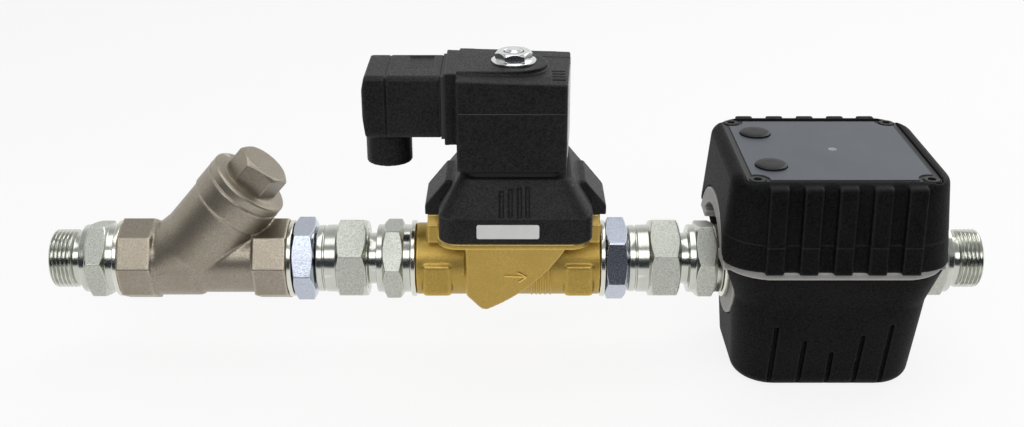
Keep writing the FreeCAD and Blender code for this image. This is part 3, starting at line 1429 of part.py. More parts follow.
def measuring_gear(letter, y):
    """Toothed measuring wheel on its own axle; wheel b stands half a tooth round so that the two mesh."""
    label = f"measuring_gear_{letter}"
    teeth = int(d.gear_teeth.value)
    pitch_radius = d.gear_centres / 2
    root = pitch_radius - d.gear_dedendum
    tip = pitch_radius + d.gear_addendum
    body = doc.addObject("PartDesign::Body", label + "_wheel")
    hub = outline(body, label + "_hub_outline", "XY_Plane", [
        (-d.gear_face, 0),
        (-d.gear_face, root),
        (0, root),
        (0, 0),
    ])
    hub_turn = body.newObject("PartDesign::Revolution", label + "_hub")
    hub_turn.Profile = hub
    hub_turn.ReferenceAxis = (hub, ["H_Axis"])
    hub_turn.Angle = 360
    sunk = root - d.gear_addendum
    flank = [(d.gear_root_width, root), (d.gear_pitch_width, pitch_radius), (d.gear_tip_width, tip)]
    points = [(d.gear_root_width / 2, sunk)]
    points += [(width / 2, radius) for width, radius in flank]
    points += [(-width / 2, radius) for width, radius in reversed(flank)]
    points.append((-d.gear_root_width / 2, sunk))
    tooth = outline(body, label + "_tooth_outline", "YZ_Plane", points)
    pad = body.newObject("PartDesign::Pad", label + "_tooth")
    pad.Profile = tooth
    pad.Reversed = True
    tie(pad, Length=d.gear_face)
    pattern = body.newObject("PartDesign::PolarPattern", label + "_teeth")
    pattern.Originals = [pad]
    pattern.Axis = (hub, ["H_Axis"])
    pattern.Angle = 360
    pattern.Occurrences = teeth
    body.Tip = pattern
    tooth_towards_mesh = FreeCAD.Rotation(FreeCAD.Vector(0, 0, 1), 90 + (0 if letter == "a" else 180 / teeth))
    upright = tooth_towards_mesh.multiply(TURNED_UP)
    place(body, (meter_mid_x, y, gear_top), upright)
    bore = cylinder(label + "_bore", d.axle_diameter + d.axle_running * 2, d.gear_face,
                    (meter_mid_x, y, gear_low))
    tools = [bore]
    if letter == "a":
        tools += magnets("magnet_room", d.port_clearance)
    parts[label] = cut(label, body, *tools)


def magnets(name, clearance):
    """Magnets sunk in the top of wheel a, or the pockets for them."""
    diameter = d.magnet_diameter + size(clearance) * 2
    low = gear_top - d.magnet_height
    return [cylinder(f"{name}_{number}", diameter, d.magnet_height,
                     (meter_mid_x + d.magnet_circle * (side / 2), gear_places["a"], low))
            for number, side in ((1, -1), (2, 1))]


def gear_train():
    for letter, y in gear_places.items():
        measuring_gear(letter, y)
    parts["gear_magnets"] = group("gear_magnets", magnets("gear_magnet", 0))
    axles = [cylinder(f"gear_axle_{letter}", d.axle_diameter, axle_top - axle_low, (meter_mid_x, y, axle_low))
             for letter, y in gear_places.items()]
    parts["gear_axles"] = group("gear_axles", axles)


def face_screw_places():
    half = d.face_screw_spacing / 2
    for side in (-1, 1):
        for row_side in (-1, 1):
            yield meter_mid_x + half * side, half * row_side


def button_places():
    at = meter_mid_x - case_width / 2 + d.button_edge
    yield "front", at, -d.button_spacing / 2
    yield "rear", at, d.button_spacing / 2


def electronics_case():
    inner_width = case_width - d.case_wall * 2
    inner_depth = case_depth - d.case_wall * 2
    floor = band_top + d.case_wall
    shell = rounded("case_shell", box("case_block", case_width, case_depth, d.case_height,
                                      meter_mid_x, size(0), band_top), (is_upright, d.case_radius))
    room = rounded("case_room", box("case_room_block", inner_width, inner_depth, d.case_height,
                                    meter_mid_x, size(0), floor), (is_upright, d.case_radius - d.case_wall))
    hollow = cut("case_hollow", shell, room)
    wall = d.boot_clearance + d.case_wall
    arches = joined("case_arches", *port_bosses("case_arch", wall),
                    *port_rims("case_rim_arch", wall, port_rim_reach))
    bosses = [cylinder(f"case_boss_{number}", d.case_boss_diameter, d.case_height, (x, y, band_top))
             for number, (x, y) in enumerate(face_screw_places(), start=1)]
    inside = shared("case_inside", joined("case_solids", arches, *bosses), shell)
    posts = []
    half = d.board_post_spacing / 2
    for number, (side, row_side) in enumerate(((-1, -1), (-1, 1), (1, -1), (1, 1)), start=1):
        posts.append(cylinder(f"board_post_{number}", d.board_post_diameter, d.board_rise + d.case_wall,
                              (meter_mid_x + half * side, half * row_side, band_top)))
    holes = [cylinder(f"case_screw_hole_{number}", d.face_screw_diameter + d.port_clearance * 2,
                      d.face_screw_length, (x, y, case_top - d.face_screw_length))
             for number, (x, y) in enumerate(face_screw_places(), start=1)]
    blank = joined("case_blank", hollow, inside, *posts)
    port_room = [*port_bosses("case_port_room", d.boot_clearance),
                 *port_rims("case_rim_room", d.boot_clearance, port_rim_reach)]
    parts["electronics_case"] = cut("electronics_case", blank, *port_room, *holes)


def electronics():
    """Board on its posts, the switches under the buttons, the pulse sensor and the battery."""
    parts["circuit_board"] = box("circuit_board", board_width, board_width, d.board_thickness,
                                 meter_mid_x, size(0), board_low)
    parts["button_switches"] = group("button_switches", [
        box(f"switch_{name}", d.switch_width, d.switch_width, d.switch_height, x, y, board_top)
        for name, x, y in button_places()])
    floor = band_top + d.case_wall
    parts["pulse_sensor"] = box("pulse_sensor", d.sensor_width, d.sensor_width, d.sensor_height,
                                meter_mid_x, gear_places["a"], floor)
    parts["battery"] = cylinder("battery", d.battery_diameter, d.battery_length,
                                (meter_mid_x - d.battery_length / 2, d.battery_place,
                                 floor + d.battery_diameter / 2 + d.port_clearance), ALONG_X)


def face():
    """Lid, its plain overlay and its screws, the two press buttons and the indicator lens."""
    button_hole = d.button_diameter + d.moving_clearance * 2
    label_top = face_top + d.face_label_thickness
    lid = rounded("face_lid", box("face_lid_block", case_width, case_depth, d.face_thickness,
                                  meter_mid_x, size(0), case_top), (is_upright, d.case_radius))
    margin = d.face_label_margin * 2
    label = box("face_label_sheet", case_width - margin, case_depth - margin, d.face_label_thickness,
                meter_mid_x, size(0), face_top)
    lid_tools, label_tools, screws = [], [], []
    head_floor = face_top + d.face_label_thickness - d.face_screw_head_height
    for number, (x, y) in enumerate(face_screw_places(), start=1):
        lid_tools.append(cylinder(f"face_screw_hole_{number}", d.face_screw_diameter + d.port_clearance * 2,
                                  d.face_thickness, (x, y, case_top)))
        lid_tools.append(cylinder(f"face_head_room_{number}", d.face_screw_head + d.moving_clearance * 2,
                                  d.face_screw_head_height, (x, y, head_floor)))
        label_tools.append(cylinder(f"face_notch_{number}", d.face_screw_notch, d.face_label_thickness,
                                    (x, y, face_top)))
        length = d.face_screw_length + (head_floor - case_top)
        screws.append(cap_screw(f"case_screw_{number}", d.face_screw_diameter, length, d.face_screw_head,
                                d.face_screw_head_height, (x, y, head_floor), TURNED_UP))
    for name, x, y in button_places():
        lid_tools.append(cylinder(f"face_button_hole_{name}", button_hole, d.face_thickness,
                                  (x, y, case_top)))
        label_tools.append(cylinder(f"label_button_hole_{name}", button_hole, d.face_label_thickness,
                                    (x, y, face_top)))
    lens_x = meter_mid_x + d.lens_place
    lens_hole = d.lens_diameter + d.port_clearance * 2
    lid_tools.append(cylinder("face_lens_hole", lens_hole, d.face_thickness, (lens_x, 0, case_top)))
    label_tools.append(cylinder("label_lens_hole", lens_hole, d.face_label_thickness, (lens_x, 0, face_top)))
    parts["faceplate"] = cut("faceplate", lid, *lid_tools)
    parts["face_label"] = cut("face_label", label, *label_tools)
    parts["case_screws"] = group("case_screws", screws)
    parts["indicator_lens"] = cylinder("indicator_lens", d.lens_diameter, label_top - board_top,
                                       (lens_x, 0, board_top))
    for name, x, y in button_places():
        press_button(f"button_{name}", x, y, label_top)


def press_button(label, x, y, label_top):
    """Domed cap in the face, held by a flange under the lid, with a stem over its switch."""
    cap = d.button_diameter / 2
    flange = cap + d.button_flange
    stem = d.button_stem_diameter / 2
    crown = label_top + d.button_proud
    flange_top_z = case_top - d.running_clearance
    flange_low = flange_top_z - d.button_flange_thickness
    stem_low = board_top + d.switch_height + d.button_travel + d.moving_clearance
    parts[label] = turned(label, [
        (stem_low, 0),
        (stem_low, stem),
        (flange_low, stem),
        (flange_low, flange),
        (flange_top_z, flange),
        (flange_top_z, cap),
        (crown - d.button_edge_drop, cap),
        (crown - d.button_crown_drop, d.button_crown_diameter / 2),
        (crown, d.button_flat_diameter / 2),
        (crown, 0),
    ], (x, y, 0), TURNED_UP)


def upper_boot():
    """Ribbed rubber boot round the case, open at the face and at the band."""
    top = band_top + d.upper_boot_height
    block = wedge("upper_boot_block", (upper_boot_width, upper_boot_depth),
                  (upper_boot_top_width, upper_boot_top_depth), d.upper_boot_height,
                  (meter_mid_x, 0, band_top), WEDGE_UP)
    shell = rounded("upper_boot_shell", block, (is_upright, d.upper_boot_radius),
                    (lies_at(top), d.upper_boot_shoulder))
    pieces = [shell]
    span = upper_boot_depth + d.rib_proud * 2
    top_span = upper_boot_top_depth + d.rib_proud * 2
    for number in range(RIB_COUNT):
        at = meter_mid_x + d.rib_pitch * (number - (RIB_COUNT - 1) / 2)
        pieces.append(wedge(f"upper_boot_rib_{number}", (d.rib_width, span), (d.rib_width, top_span),
                            d.upper_boot_height - d.rib_top_drop, (at, 0, band_top), WEDGE_UP))
    clear = d.boot_clearance * 2
    room = rounded("upper_boot_room", box("upper_boot_room_block", case_width + clear, case_depth + clear,
                                          d.upper_boot_height * 2, meter_mid_x, size(0),
                                          band_top - d.upper_boot_height / 2),
                   (is_upright, d.case_radius))
    parts["upper_boot"] = cut("upper_boot", joined("upper_boot_blank", *pieces), room,
                              *port_rims("upper_boot_rim_room", d.boot_clearance, upper_boot_width))


def lower_boot():
    """Rubber boot under the band: flared at its top, tapered below, open round each port."""
    top = d.lower_boot_top
    boot_mid_x = meter_mid_x + d.lower_boot_shift
    mouth = (d.lower_boot_width, d.lower_boot_depth)
    waist = (d.lower_boot_waist_width, d.lower_boot_waist_depth)
    flare_block = wedge("lower_boot_flare_block", mouth, waist, d.lower_boot_flare, (boot_mid_x, 0, top),
                        WEDGE_DOWN)
    flare = rounded("lower_boot_flare", flare_block, (is_upright, d.lower_boot_radius))
    block = wedge("lower_boot_block", waist, (d.lower_boot_bottom_width, d.lower_boot_bottom_depth),
                  top - d.lower_boot_flare + d.lower_boot_low,
                  (boot_mid_x, 0, top - d.lower_boot_flare), WEDGE_DOWN)
    shell = rounded("lower_boot_shell", block, (is_upright, d.lower_boot_radius),
                    (lies_at(-d.lower_boot_low), d.lower_boot_sole_radius))
    skin = joined("lower_boot_blank", flare, shell)
    clear = d.boot_clearance * 2
    room_low = plate_low - d.chamber_screw_head_height - d.boot_clearance
    room = rounded("lower_boot_room", box("lower_boot_room_block", d.meter_block_width + clear,
                                          d.meter_block_depth + clear, top - room_low, meter_mid_x, size(0),
                                          room_low), (is_upright, d.meter_block_radius))
    boss_room = cylinder("lower_boot_boss_room", d.meter_boss_diameter + clear, d.meter_length + clear,
                         (meter_x - d.boot_clearance, 0, 0), ALONG_X)
    disc_back = d.meter_length / 2 - d.port_rim_back - d.boot_clearance
    parts["lower_boot"] = cut("lower_boot", skin, room, boss_room,
                              *port_rooms("lower_boot", d.port_room_diameter, size(0), disc_back))


adapter("inlet_adapter", size(0), TURNED_X, INLET_ADAPTER_TURN)
adapter("valve_inlet_adapter", valve_adapter_x, TURNED_X, VALVE_ADAPTER_TURN)
adapter("meter_inlet_adapter", meter_adapter_x, TURNED_X, METER_ADAPTER_TURN)
adapter("outlet_adapter", outlet_x, TURNED_BACK, OUTLET_ADAPTER_TURN)
bonded_washers()
swivel_stud("strainer_outlet_stud", first_stud_x, STRAINER_STUD_TURN)
swivel_stud("valve_outlet_stud", second_stud_x, VALVE_STUD_TURN)
parts["cone_rings"] = group("cone_rings", [
    cone_ring("strainer_cone_ring", first_stud_x, d.cone_ring_section),
    cone_ring("valve_cone_ring", second_stud_x, d.cone_ring_section)])
swivel_nut("strainer_swivel_nut", first_stud_x)
swivel_nut("valve_swivel_nut", second_stud_x)
strainer_body()
strainer_inside()
strainer_cap()
valve_body()
servo_diaphragm()
valve_cover()
cover_screws()
armature()
coil()
coil_fastening()
blank_labels()
cable_plug()
cable_gland()
meter_body()
chamber_closure()
gear_train()
electronics_case()
electronics()
face()
upper_boot()
lower_boot()
doc.recompute()

for item in doc.Objects:
    if "Invalid" in item.State or "Error" in item.State:
        raise RuntimeError(f"{item.Label} failed: {item.State}")
for label, piece in parts.items():
    piece.Label = label
    if piece.Shape.isNull() or not piece.Shape.isValid() or not piece.Shape.Solids:
        raise RuntimeError(f"{label} has no valid solid")

os.makedirs("parts", exist_ok=True)
for label, piece in parts.items():
    piece.Shape.exportStep(f"parts/{label}.step")
print(f"{len(parts)} sub-parts, {sum(len(piece.Shape.Solids) for piece in parts.values())} solids")
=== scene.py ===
import json
import math

import bmesh
import bpy
import numpy as np
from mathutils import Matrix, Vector


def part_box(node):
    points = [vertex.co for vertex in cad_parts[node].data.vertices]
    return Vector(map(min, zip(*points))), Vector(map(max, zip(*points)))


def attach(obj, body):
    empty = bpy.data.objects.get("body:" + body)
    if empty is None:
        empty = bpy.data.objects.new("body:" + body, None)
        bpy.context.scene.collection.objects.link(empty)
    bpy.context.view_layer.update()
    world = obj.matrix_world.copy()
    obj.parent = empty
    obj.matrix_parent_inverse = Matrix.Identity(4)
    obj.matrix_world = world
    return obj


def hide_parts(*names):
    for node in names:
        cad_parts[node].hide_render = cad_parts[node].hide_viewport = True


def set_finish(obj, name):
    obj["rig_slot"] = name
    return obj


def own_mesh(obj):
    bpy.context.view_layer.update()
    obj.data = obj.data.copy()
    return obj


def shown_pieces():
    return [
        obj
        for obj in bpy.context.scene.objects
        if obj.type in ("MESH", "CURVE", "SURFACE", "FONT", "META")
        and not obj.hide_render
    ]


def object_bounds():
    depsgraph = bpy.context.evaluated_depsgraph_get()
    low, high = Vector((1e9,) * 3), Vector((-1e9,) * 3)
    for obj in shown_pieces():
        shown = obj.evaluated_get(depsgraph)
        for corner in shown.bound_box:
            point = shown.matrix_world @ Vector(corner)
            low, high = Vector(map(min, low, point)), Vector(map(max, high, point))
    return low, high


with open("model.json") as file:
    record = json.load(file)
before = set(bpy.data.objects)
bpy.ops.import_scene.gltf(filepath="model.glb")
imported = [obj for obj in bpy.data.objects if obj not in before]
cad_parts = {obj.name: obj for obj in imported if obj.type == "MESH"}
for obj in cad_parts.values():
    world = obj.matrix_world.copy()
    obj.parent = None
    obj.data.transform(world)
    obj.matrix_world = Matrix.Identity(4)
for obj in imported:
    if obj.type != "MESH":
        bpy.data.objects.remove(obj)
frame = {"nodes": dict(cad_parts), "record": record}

cad_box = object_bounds()
nodes = frame["nodes"]
record = frame["record"]
scene = bpy.context.scene
body_of_node = {node: body for body, members in record["behaviour"]["bodies"].items() for node in members}
slot_of_node = {row["node"]: row["material_slot"] for row in record["subparts"]}

# Sizes and places are in millimetres in the set's own frame; Blender's unit is the metre
MM = 0.001
PIPE_AXIS = (1, 0, 0)

# Pipe thread and the bores of the fittings
THREAD_RADIUS, THREAD_PITCH, THREAD_DEPTH, THREAD_LENGTH = 13.22, 1.814, 1.16, 10.0
FLOW_RADIUS, CONE_MOUTH, TAIL_RADIUS = 7.5, 11.0, 12.6
# Adapters, from the free end: hexagon, shoulder face and end of the tail
ADAPTER_HEX, SHOULDER_FACE, ADAPTER_LENGTH = (16.9, 26.2), 29.4, 40.4
WASHER_ROOM, WASHER_GAP = 2.3, 0.1
# Hexagons: width across flats, and how far each one's front corner is turned up from level, in degrees
ADAPTER_FLATS, STUD_FLATS, NUT_FLATS, CAP_FLATS, COIL_NUT_FLATS = 32.0, 33.0, 34.0, 22.0, 14.2
HEX_TURN = {"inlet_adapter": 15, "valve_inlet_adapter": 5, "meter_inlet_adapter": 14, "outlet_adapter": 20,
            "strainer_outlet_stud": -4, "valve_outlet_stud": -16, "strainer_swivel_nut": 26,
            "valve_swivel_nut": 26, "strainer_cap": 30, "coil_nut": 26}
HEX_SIDES = 6
HEX_STEP = 2 * math.pi / HEX_SIDES
# Directions of the points beside each corner of a hexagon, in degrees from the corner
CORNER_SPREAD = (0.6, 1.3, 2.2, 3.6, 5.6, 8.2, 11.2, 14.6, 18.4, 22.2, 26.0)
# Adapters and studs: least radius and spacing of the rows of points on a hexagon, and the easing of edges
FLATS_INNER, FLATS_ROW, FITTING_EASE = 14.0, 0.22, 0.35
# Strainer: branch, its machined collar, and the run
BRANCH_FOOT, BRANCH_ANGLE, BRANCH_LENGTH = 58.3, math.radians(49), 45.2
BRANCH_COLLAR, BRANCH_RADIUS, RUN_RADIUS = 35.0, 17.7, 15.5
BRANCH_AXIS = (math.cos(BRANCH_ANGLE), 0, math.sin(BRANCH_ANGLE))
# Valve axis, and the middle of its cover
VALVE_X, COVER_X = 208.5, 209.3

# Floor, in metres: its middle, half its width, where it ends in front, and its drop below the set
FLOOR_X, FLOOR_HALF, FLOOR_FRONT, FLOOR_DROP = 0.2, 6, -0.3, 0.0002
# Point that the lamps face, in metres, and the strength of the even light
SET_MIDDLE, FILL_STRENGTH = (0.21, 0, 0.01), 0.33
WHITE = (1, 1, 1, 1)
# Camera: place in metres, degrees below level, lens and sensor in millimetres, and nearest distance in metres
CAMERA_PLACE, CAMERA_DOWN = (0.20773, -0.54348, 0.25212), 22.942
CAMERA_LENS, SENSOR_WIDTH, NEAREST = 46.05, 36, 0.01


# Pieces and meshes

def new_piece(name, mesh, node=None, slot=None, body=None):
    """Links a mesh as a piece on a body, or on a node's body: then the piece stands for that node."""
    piece = bpy.data.objects.new(name, mesh)
    scene.collection.objects.link(piece)
    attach(piece, body or body_of_node[node])
    if node:
        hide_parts(node)
    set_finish(piece, slot or slot_of_node[node])
    return piece


def smooth(mesh, angle=32):
    """Shades a mesh smooth, apart from edges that turn by more than the angle in degrees."""
    for polygon in mesh.polygons:
        polygon.use_smooth = True
    mesh.set_sharp_from_angle(angle=math.radians(angle))


def settled(piece, angle=32):
    """Turns a piece's modifiers into its mesh."""
    graph = bpy.context.evaluated_depsgraph_get()
    mesh = bpy.data.meshes.new_from_object(piece.evaluated_get(graph))
    piece.modifiers.clear()
    piece.data = mesh
    smooth(mesh, angle)
    return piece


def points_of(piece):
    """A piece's points in millimetres."""
    places = np.empty(len(piece.data.vertices) * 3, np.float32)
    piece.data.vertices.foreach_get("co", places)
    return places.reshape(-1, 3) / MM


def near(value, full, none):
    """1 up to the value full, falling to 0 at the value none."""
    return np.clip((none - value) / (none - full), 0, 1)


def soft_min(a, b, blend):
    """The lesser of two values, with an eased change from one to the other."""
    share = np.clip(0.5 + 0.5 * (b - a) / blend, 0, 1)
    return b * (1 - share) + a * share - blend * share * (1 - share)


# Turned pieces

def polygon_radius(theta, flats, corner, blend):
    """Distance from the axis to a hexagon's side in each direction, with its corners eased."""
    off = np.abs((theta - corner) % HEX_STEP - HEX_STEP / 2)
    return soft_min(flats / 2 / np.cos(off), flats / 2 / np.cos(HEX_STEP - off), blend)


def corner_circle(flats, proud=0.1):
    """Radius of the bar that a hexagon is cut from, a little over its corners."""
    return flats / math.sqrt(3) + proud


def ring_angles(corner):
    """Directions round a turned piece, close together at a hexagon's corners."""
    beside = np.radians(CORNER_SPREAD)
    offsets = np.concatenate([-beside[::-1], [0], beside, [HEX_STEP / 2]])
    return np.concatenate([corner + HEX_STEP * side + offsets for side in range(HEX_SIDES)])


def eased(points, radius, segments=3):
    """A closed profile's corners rounded by short curves, which take at most part of each side."""
    side_share = 0.42
    points = [np.array(point, float) for point in points]
    result = []
    for before, at, after in zip(points[-1:] + points[:-1], points, points[1:] + points[:1]):
        back, ahead = before - at, after - at
        reach_back, reach_ahead = np.linalg.norm(back), np.linalg.norm(ahead)
        cut = min(radius, reach_back * side_share, reach_ahead * side_share)
        start, end = at + back / reach_back * cut, at + ahead / reach_ahead * cut
        for share in np.linspace(0, 1, segments + 1):
            result.append(start * (1 - share) ** 2 + at * 2 * share * (1 - share) + end * share ** 2)
    return result


def filled(points, spans):
    """Adds rows to a closed profile; within a span (start, end, inner, step) none is longer than the step."""
    slack = 1e-6
    result = []
    for point, after in zip(points, points[1:] + points[:1]):
        along, radius = (point + after) / 2
        length = np.linalg.norm(after - point)
        step = next((step for start, end, inner, step in spans
                     if start <= along <= end and radius >= inner), length)
        count = max(1, int(math.ceil(length / step - slack)))
        result += [point + (after - point) * index / count for index in range(count)]
    return result


def lathe(name, profile, origin, axis, shape=None, corner=0.0, flats=None, plain_end=None, **links):
    """Turns a closed profile of (along, radius) about an axis; shape changes the radius by direction.

    The mesh keeps two attributes for its material: "facet" is 1 where a point of the stretch flats, given as
    (start, end, inner radius), lies off the turned form, and "plain" is 1 on the end face plain_end, given as
    (along, radius), which gets no paler edges: neither rubbed wear nor painted highlight.
    """
    facet_depth, slack, end_face = 0.2, 0.01, 0.9995
    theta = ring_angles(math.radians(corner))
    axis = Vector(axis).normalized()
    front = Vector((0, -1, 0))
    side = front.cross(axis)
    origin = Vector(origin) * MM
    vertices, facets, plain = [], [], []
    for along, radius in profile:
        radii = np.full(theta.shape, radius) if shape is None else shape(along, radius, theta)
        for angle, distance in zip(theta, radii):
            outward = front * math.cos(angle) + side * math.sin(angle)
            vertices.append(origin + (axis * along + outward * float(distance)) * MM)
        on_flats = flats and flats[0] <= along <= flats[1] and radius > flats[2]
        facets.append(np.clip((radius - radii) / facet_depth, 0, 1) if on_flats else np.zeros(theta.shape))
        on_end = plain_end and abs(along - plain_end[0]) < slack and radius < plain_end[1]
        plain.append(np.full(theta.shape, 1.0 if on_end else 0.0))
    count, rows = len(theta), len(profile)
    faces = [(row * count + index, row * count + (index + 1) % count,
              (row + 1) % rows * count + (index + 1) % count, (row + 1) % rows * count + index)
             for row in range(rows) for index in range(count)]
    mesh = bpy.data.meshes.new(name)
    mesh.from_pydata(vertices, [], faces)
    for label, values in (("facet", facets), ("plain", plain)):
        attribute = mesh.attributes.new(label, "FLOAT", "POINT")
        attribute.data.foreach_set("value", np.concatenate(values).astype(np.float32))
    shell = bmesh.new()
    shell.from_mesh(mesh)
    bmesh.ops.recalc_face_normals(shell, faces=shell.faces)
    shell.to_mesh(mesh)
    shell.free()
    smooth(mesh, angle=40)
    for polygon in mesh.polygons:
        polygon.use_smooth = abs(polygon.normal.dot(axis)) < end_face
    return new_piece(name, mesh, **links)


def hexagonal(start, end, flats, corner, blend=0.5, inner=12.0):
    """Shape of a turned piece that is a hexagon over one stretch of its length, outside the inner radius."""
    slack, chamfer_blend = 0.01, 0.3

    def shape(along, radius, theta):
        turned = np.full(theta.shape, radius)
        if start - slack <= along <= end + slack and radius > inner:
            return soft_min(turned, polygon_radius(theta, flats, math.radians(corner), blend), chamfer_blend)
        return turned
    return shape


def thread_groove(along, theta):
    """Depth of a thread's helical groove, which fades in at the free end and out at the neck."""
    flank, root, margin, fade_in, fade_out = 3.1, 1.25, 0.2, 1.2, 0.9
    turn = (along / THREAD_PITCH - theta / (2 * math.pi)) % 1
    begun = np.clip((along - margin) / fade_in, 0, 1)
    left = np.clip((THREAD_LENGTH + margin - along) / fade_out, 0, 1)
    return np.clip(root - np.abs(turn - 0.5) * flank, 0, 1) * THREAD_DEPTH * begun * left


def adapter(node, reverse=False, threaded=True):
    """Male adapter: thread, neck, collar, hexagon with 30 degree chamfers, shoulder and tail in the port."""
    low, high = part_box(node)
    start, end = ADAPTER_HEX
    neck, neck_end, collar, collar_start, face = 11.6, 14.0, 15.4, 14.2, 15.5
    lead_in, run_out, cone_depth = 0.9, 0.6, 6.1
    corner_radius = corner_circle(ADAPTER_FLATS)
    chamfer = (corner_radius - face) * math.tan(math.radians(30))
    outside = [(0, CONE_MOUTH), (0, THREAD_RADIUS - lead_in), (lead_in, THREAD_RADIUS),
               (THREAD_LENGTH, THREAD_RADIUS), (THREAD_LENGTH + run_out, neck), (neck_end, neck),
               (collar_start, collar), (start, face), (start + chamfer, corner_radius),
               (end - chamfer, corner_radius), (end, face), (SHOULDER_FACE, collar),
               (SHOULDER_FACE, TAIL_RADIUS), (ADAPTER_LENGTH, TAIL_RADIUS), (ADAPTER_LENGTH, FLOW_RADIUS),
               (cone_depth, FLOW_RADIUS)]
    flats = (start, end, FLATS_INNER)
    spans = [(*flats, FLATS_ROW)]
    if threaded:
        thread_inner, thread_row = 12.1, 0.15
        spans.append((0.0, THREAD_LENGTH, thread_inner, thread_row))
    corner = 180 - HEX_TURN[node] if reverse else HEX_TURN[node]
    hexagon = hexagonal(start, end, ADAPTER_FLATS, corner)

    def shape(along, radius, theta):
        radii = hexagon(along, radius, theta)
        if threaded and along < THREAD_LENGTH + run_out / 2 and radius > neck + 0.1:
            radii = np.minimum(radii, THREAD_RADIUS - thread_groove(along, theta))
        return radii

    free_end = ((high if reverse else low).x / MM, 0, 0)
    axis = (-1 if reverse else 1, 0, 0)
    profile = filled(eased(outside, FITTING_EASE), spans)
    lathe(node + "_turned", profile, free_end, axis, shape, corner, flats, node=node)


def stud(node):
    """Swivel stud: tail, hexagon, and the stem, flange and cone nose inside the nut."""
    start, length = 11.0, 38.0
    end, flange_start, flange_end, cone_end = start + 9.8, start + 17.3, start + 20.4, start + 24.0
    face, chamfer, stem, flange, cone, nose = 15.8, 1.5, 11.2, 12.6, 10.4, 10.0
    corner_radius = corner_circle(STUD_FLATS)
    outside = [(WASHER_GAP, FLOW_RADIUS), (WASHER_GAP, TAIL_RADIUS), (start, TAIL_RADIUS), (start, face),
               (start + chamfer, corner_radius), (end - chamfer, corner_radius), (end, face), (end, stem),
               (flange_start, stem), (flange_start, flange), (flange_end, flange), (cone_end, cone),
               (length, nose), (length, FLOW_RADIUS)]
    flats = (start, end, FLATS_INNER)
    profile = filled(eased(outside, FITTING_EASE), [(*flats, FLATS_ROW)])
    lathe(node + "_turned", profile, (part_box(node)[0].x / MM, 0, 0), PIPE_AXIS,
          hexagonal(start, end, STUD_FLATS, HEX_TURN[node]), HEX_TURN[node], flats, node=node)


def swivel_nut(node):
    """Swivel nut: a grooved collar that widens a little towards the hexagon, and the threaded room inside."""
    start, length, inner_face = 9.1, 22.8, 6.6
    bore, room, mouth, groove = 11.7, 13.5, 14.2, 14.6
    corner_radius = corner_circle(NUT_FLATS)
    collar = [(0, bore), (0, groove), (0.5, 15.1), (2.9, 15.2), (3.0, groove), (3.8, groove), (3.9, 15.25),
              (9.0, 15.4)]
    hexagon = [(9.2, 16.2), (10.9, corner_radius), (21.0, corner_radius), (length, 16.6)]
    inside = [(length, mouth), (22.0, room), (inner_face, room), (inner_face, bore)]
    inner, row, ease = 15.6, 0.25, 0.3
    flats = (start, length, inner)
    profile = filled(eased(collar + hexagon + inside, ease), [(*flats, row)])
    lathe(node + "_turned", profile, (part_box(node)[0].x / MM, 0, 0), PIPE_AXIS,
          hexagonal(start, length, NUT_FLATS, HEX_TURN[node]), HEX_TURN[node], flats, node=node)


def washers(node):
    """Six bonded washers: a steel ring with its outer edges broken."""
    inner, outer, edge, edge_drop = 13.0, 17.42, 0.3, 0.22
    first, last = WASHER_GAP, WASHER_ROOM - WASHER_GAP
    shoulder = SHOULDER_FACE + WASHER_GAP
    faces = [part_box("inlet_adapter")[0].x / MM + shoulder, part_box("strainer_body")[1].x / MM,
             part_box("valve_inlet_adapter")[0].x / MM + shoulder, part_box("valve_body")[1].x / MM,
             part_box("meter_inlet_adapter")[0].x / MM + shoulder,
             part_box("outlet_adapter")[0].x / MM + ADAPTER_LENGTH - SHOULDER_FACE - WASHER_ROOM]
    outside = [(first, inner), (first, outer - edge_drop), (first + edge, outer), (last - edge, outer),
               (last, outer - edge_drop), (last, inner)]
    profile = eased(outside, radius=0.25)
    for number, at in enumerate(faces, start=1):
        lathe(f"bonded_washer_{number}", profile, (at, 0, 0), PIPE_AXIS, node=node)


def strainer_cap(node):
    """Screwed cap on the branch: flange, and a hexagon with a fillet at its foot and a chamfered flat end."""
    gasket, flange, fillet, hexagon, screwed_depth, room_depth = 0.5, 4.3, 1.5, 10.0, 9.8, 6
    screwed, rim, room, flat_end, middle = 13.4, 18.4, 9.0, 9.6, 0.05
    face = BRANCH_LENGTH + gasket
    foot = face + flange
    top = foot + fillet + hexagon
    corner_radius = corner_circle(CAP_FLATS)
    outside = [(face - screwed_depth, room), (face - screwed_depth, screwed), (face, screwed),
               (face, rim - 0.1), (face + 0.4, rim), (foot - 0.6, rim), (foot, rim - 0.8), (foot + 0.5, 14.6),
               (foot + 1.2, 13.1), (foot + 1.6, corner_radius), (top - 1.7, corner_radius), (top - 0.2, 10.6)]
    outside += [(top, radius) for radius in (flat_end, 8.4, 6.8, 5.0, 3.2, 1.2, middle)]
    outside += [(face - room_depth, middle), (face - room_depth, room)]
    inner, row, ease = 8.8, 0.3, 0.4
    profile = filled(eased(outside, ease), [(foot + 0.6, top, inner, row)])
    shape = hexagonal(foot + 0.9, top, CAP_FLATS, HEX_TURN[node], blend=0.4, inner=inner)
    lathe(node + "_turned", profile, (BRANCH_FOOT, 0, 0), BRANCH_AXIS, shape, HEX_TURN[node],
          plain_end=(top, flat_end - 0.1), node=node)


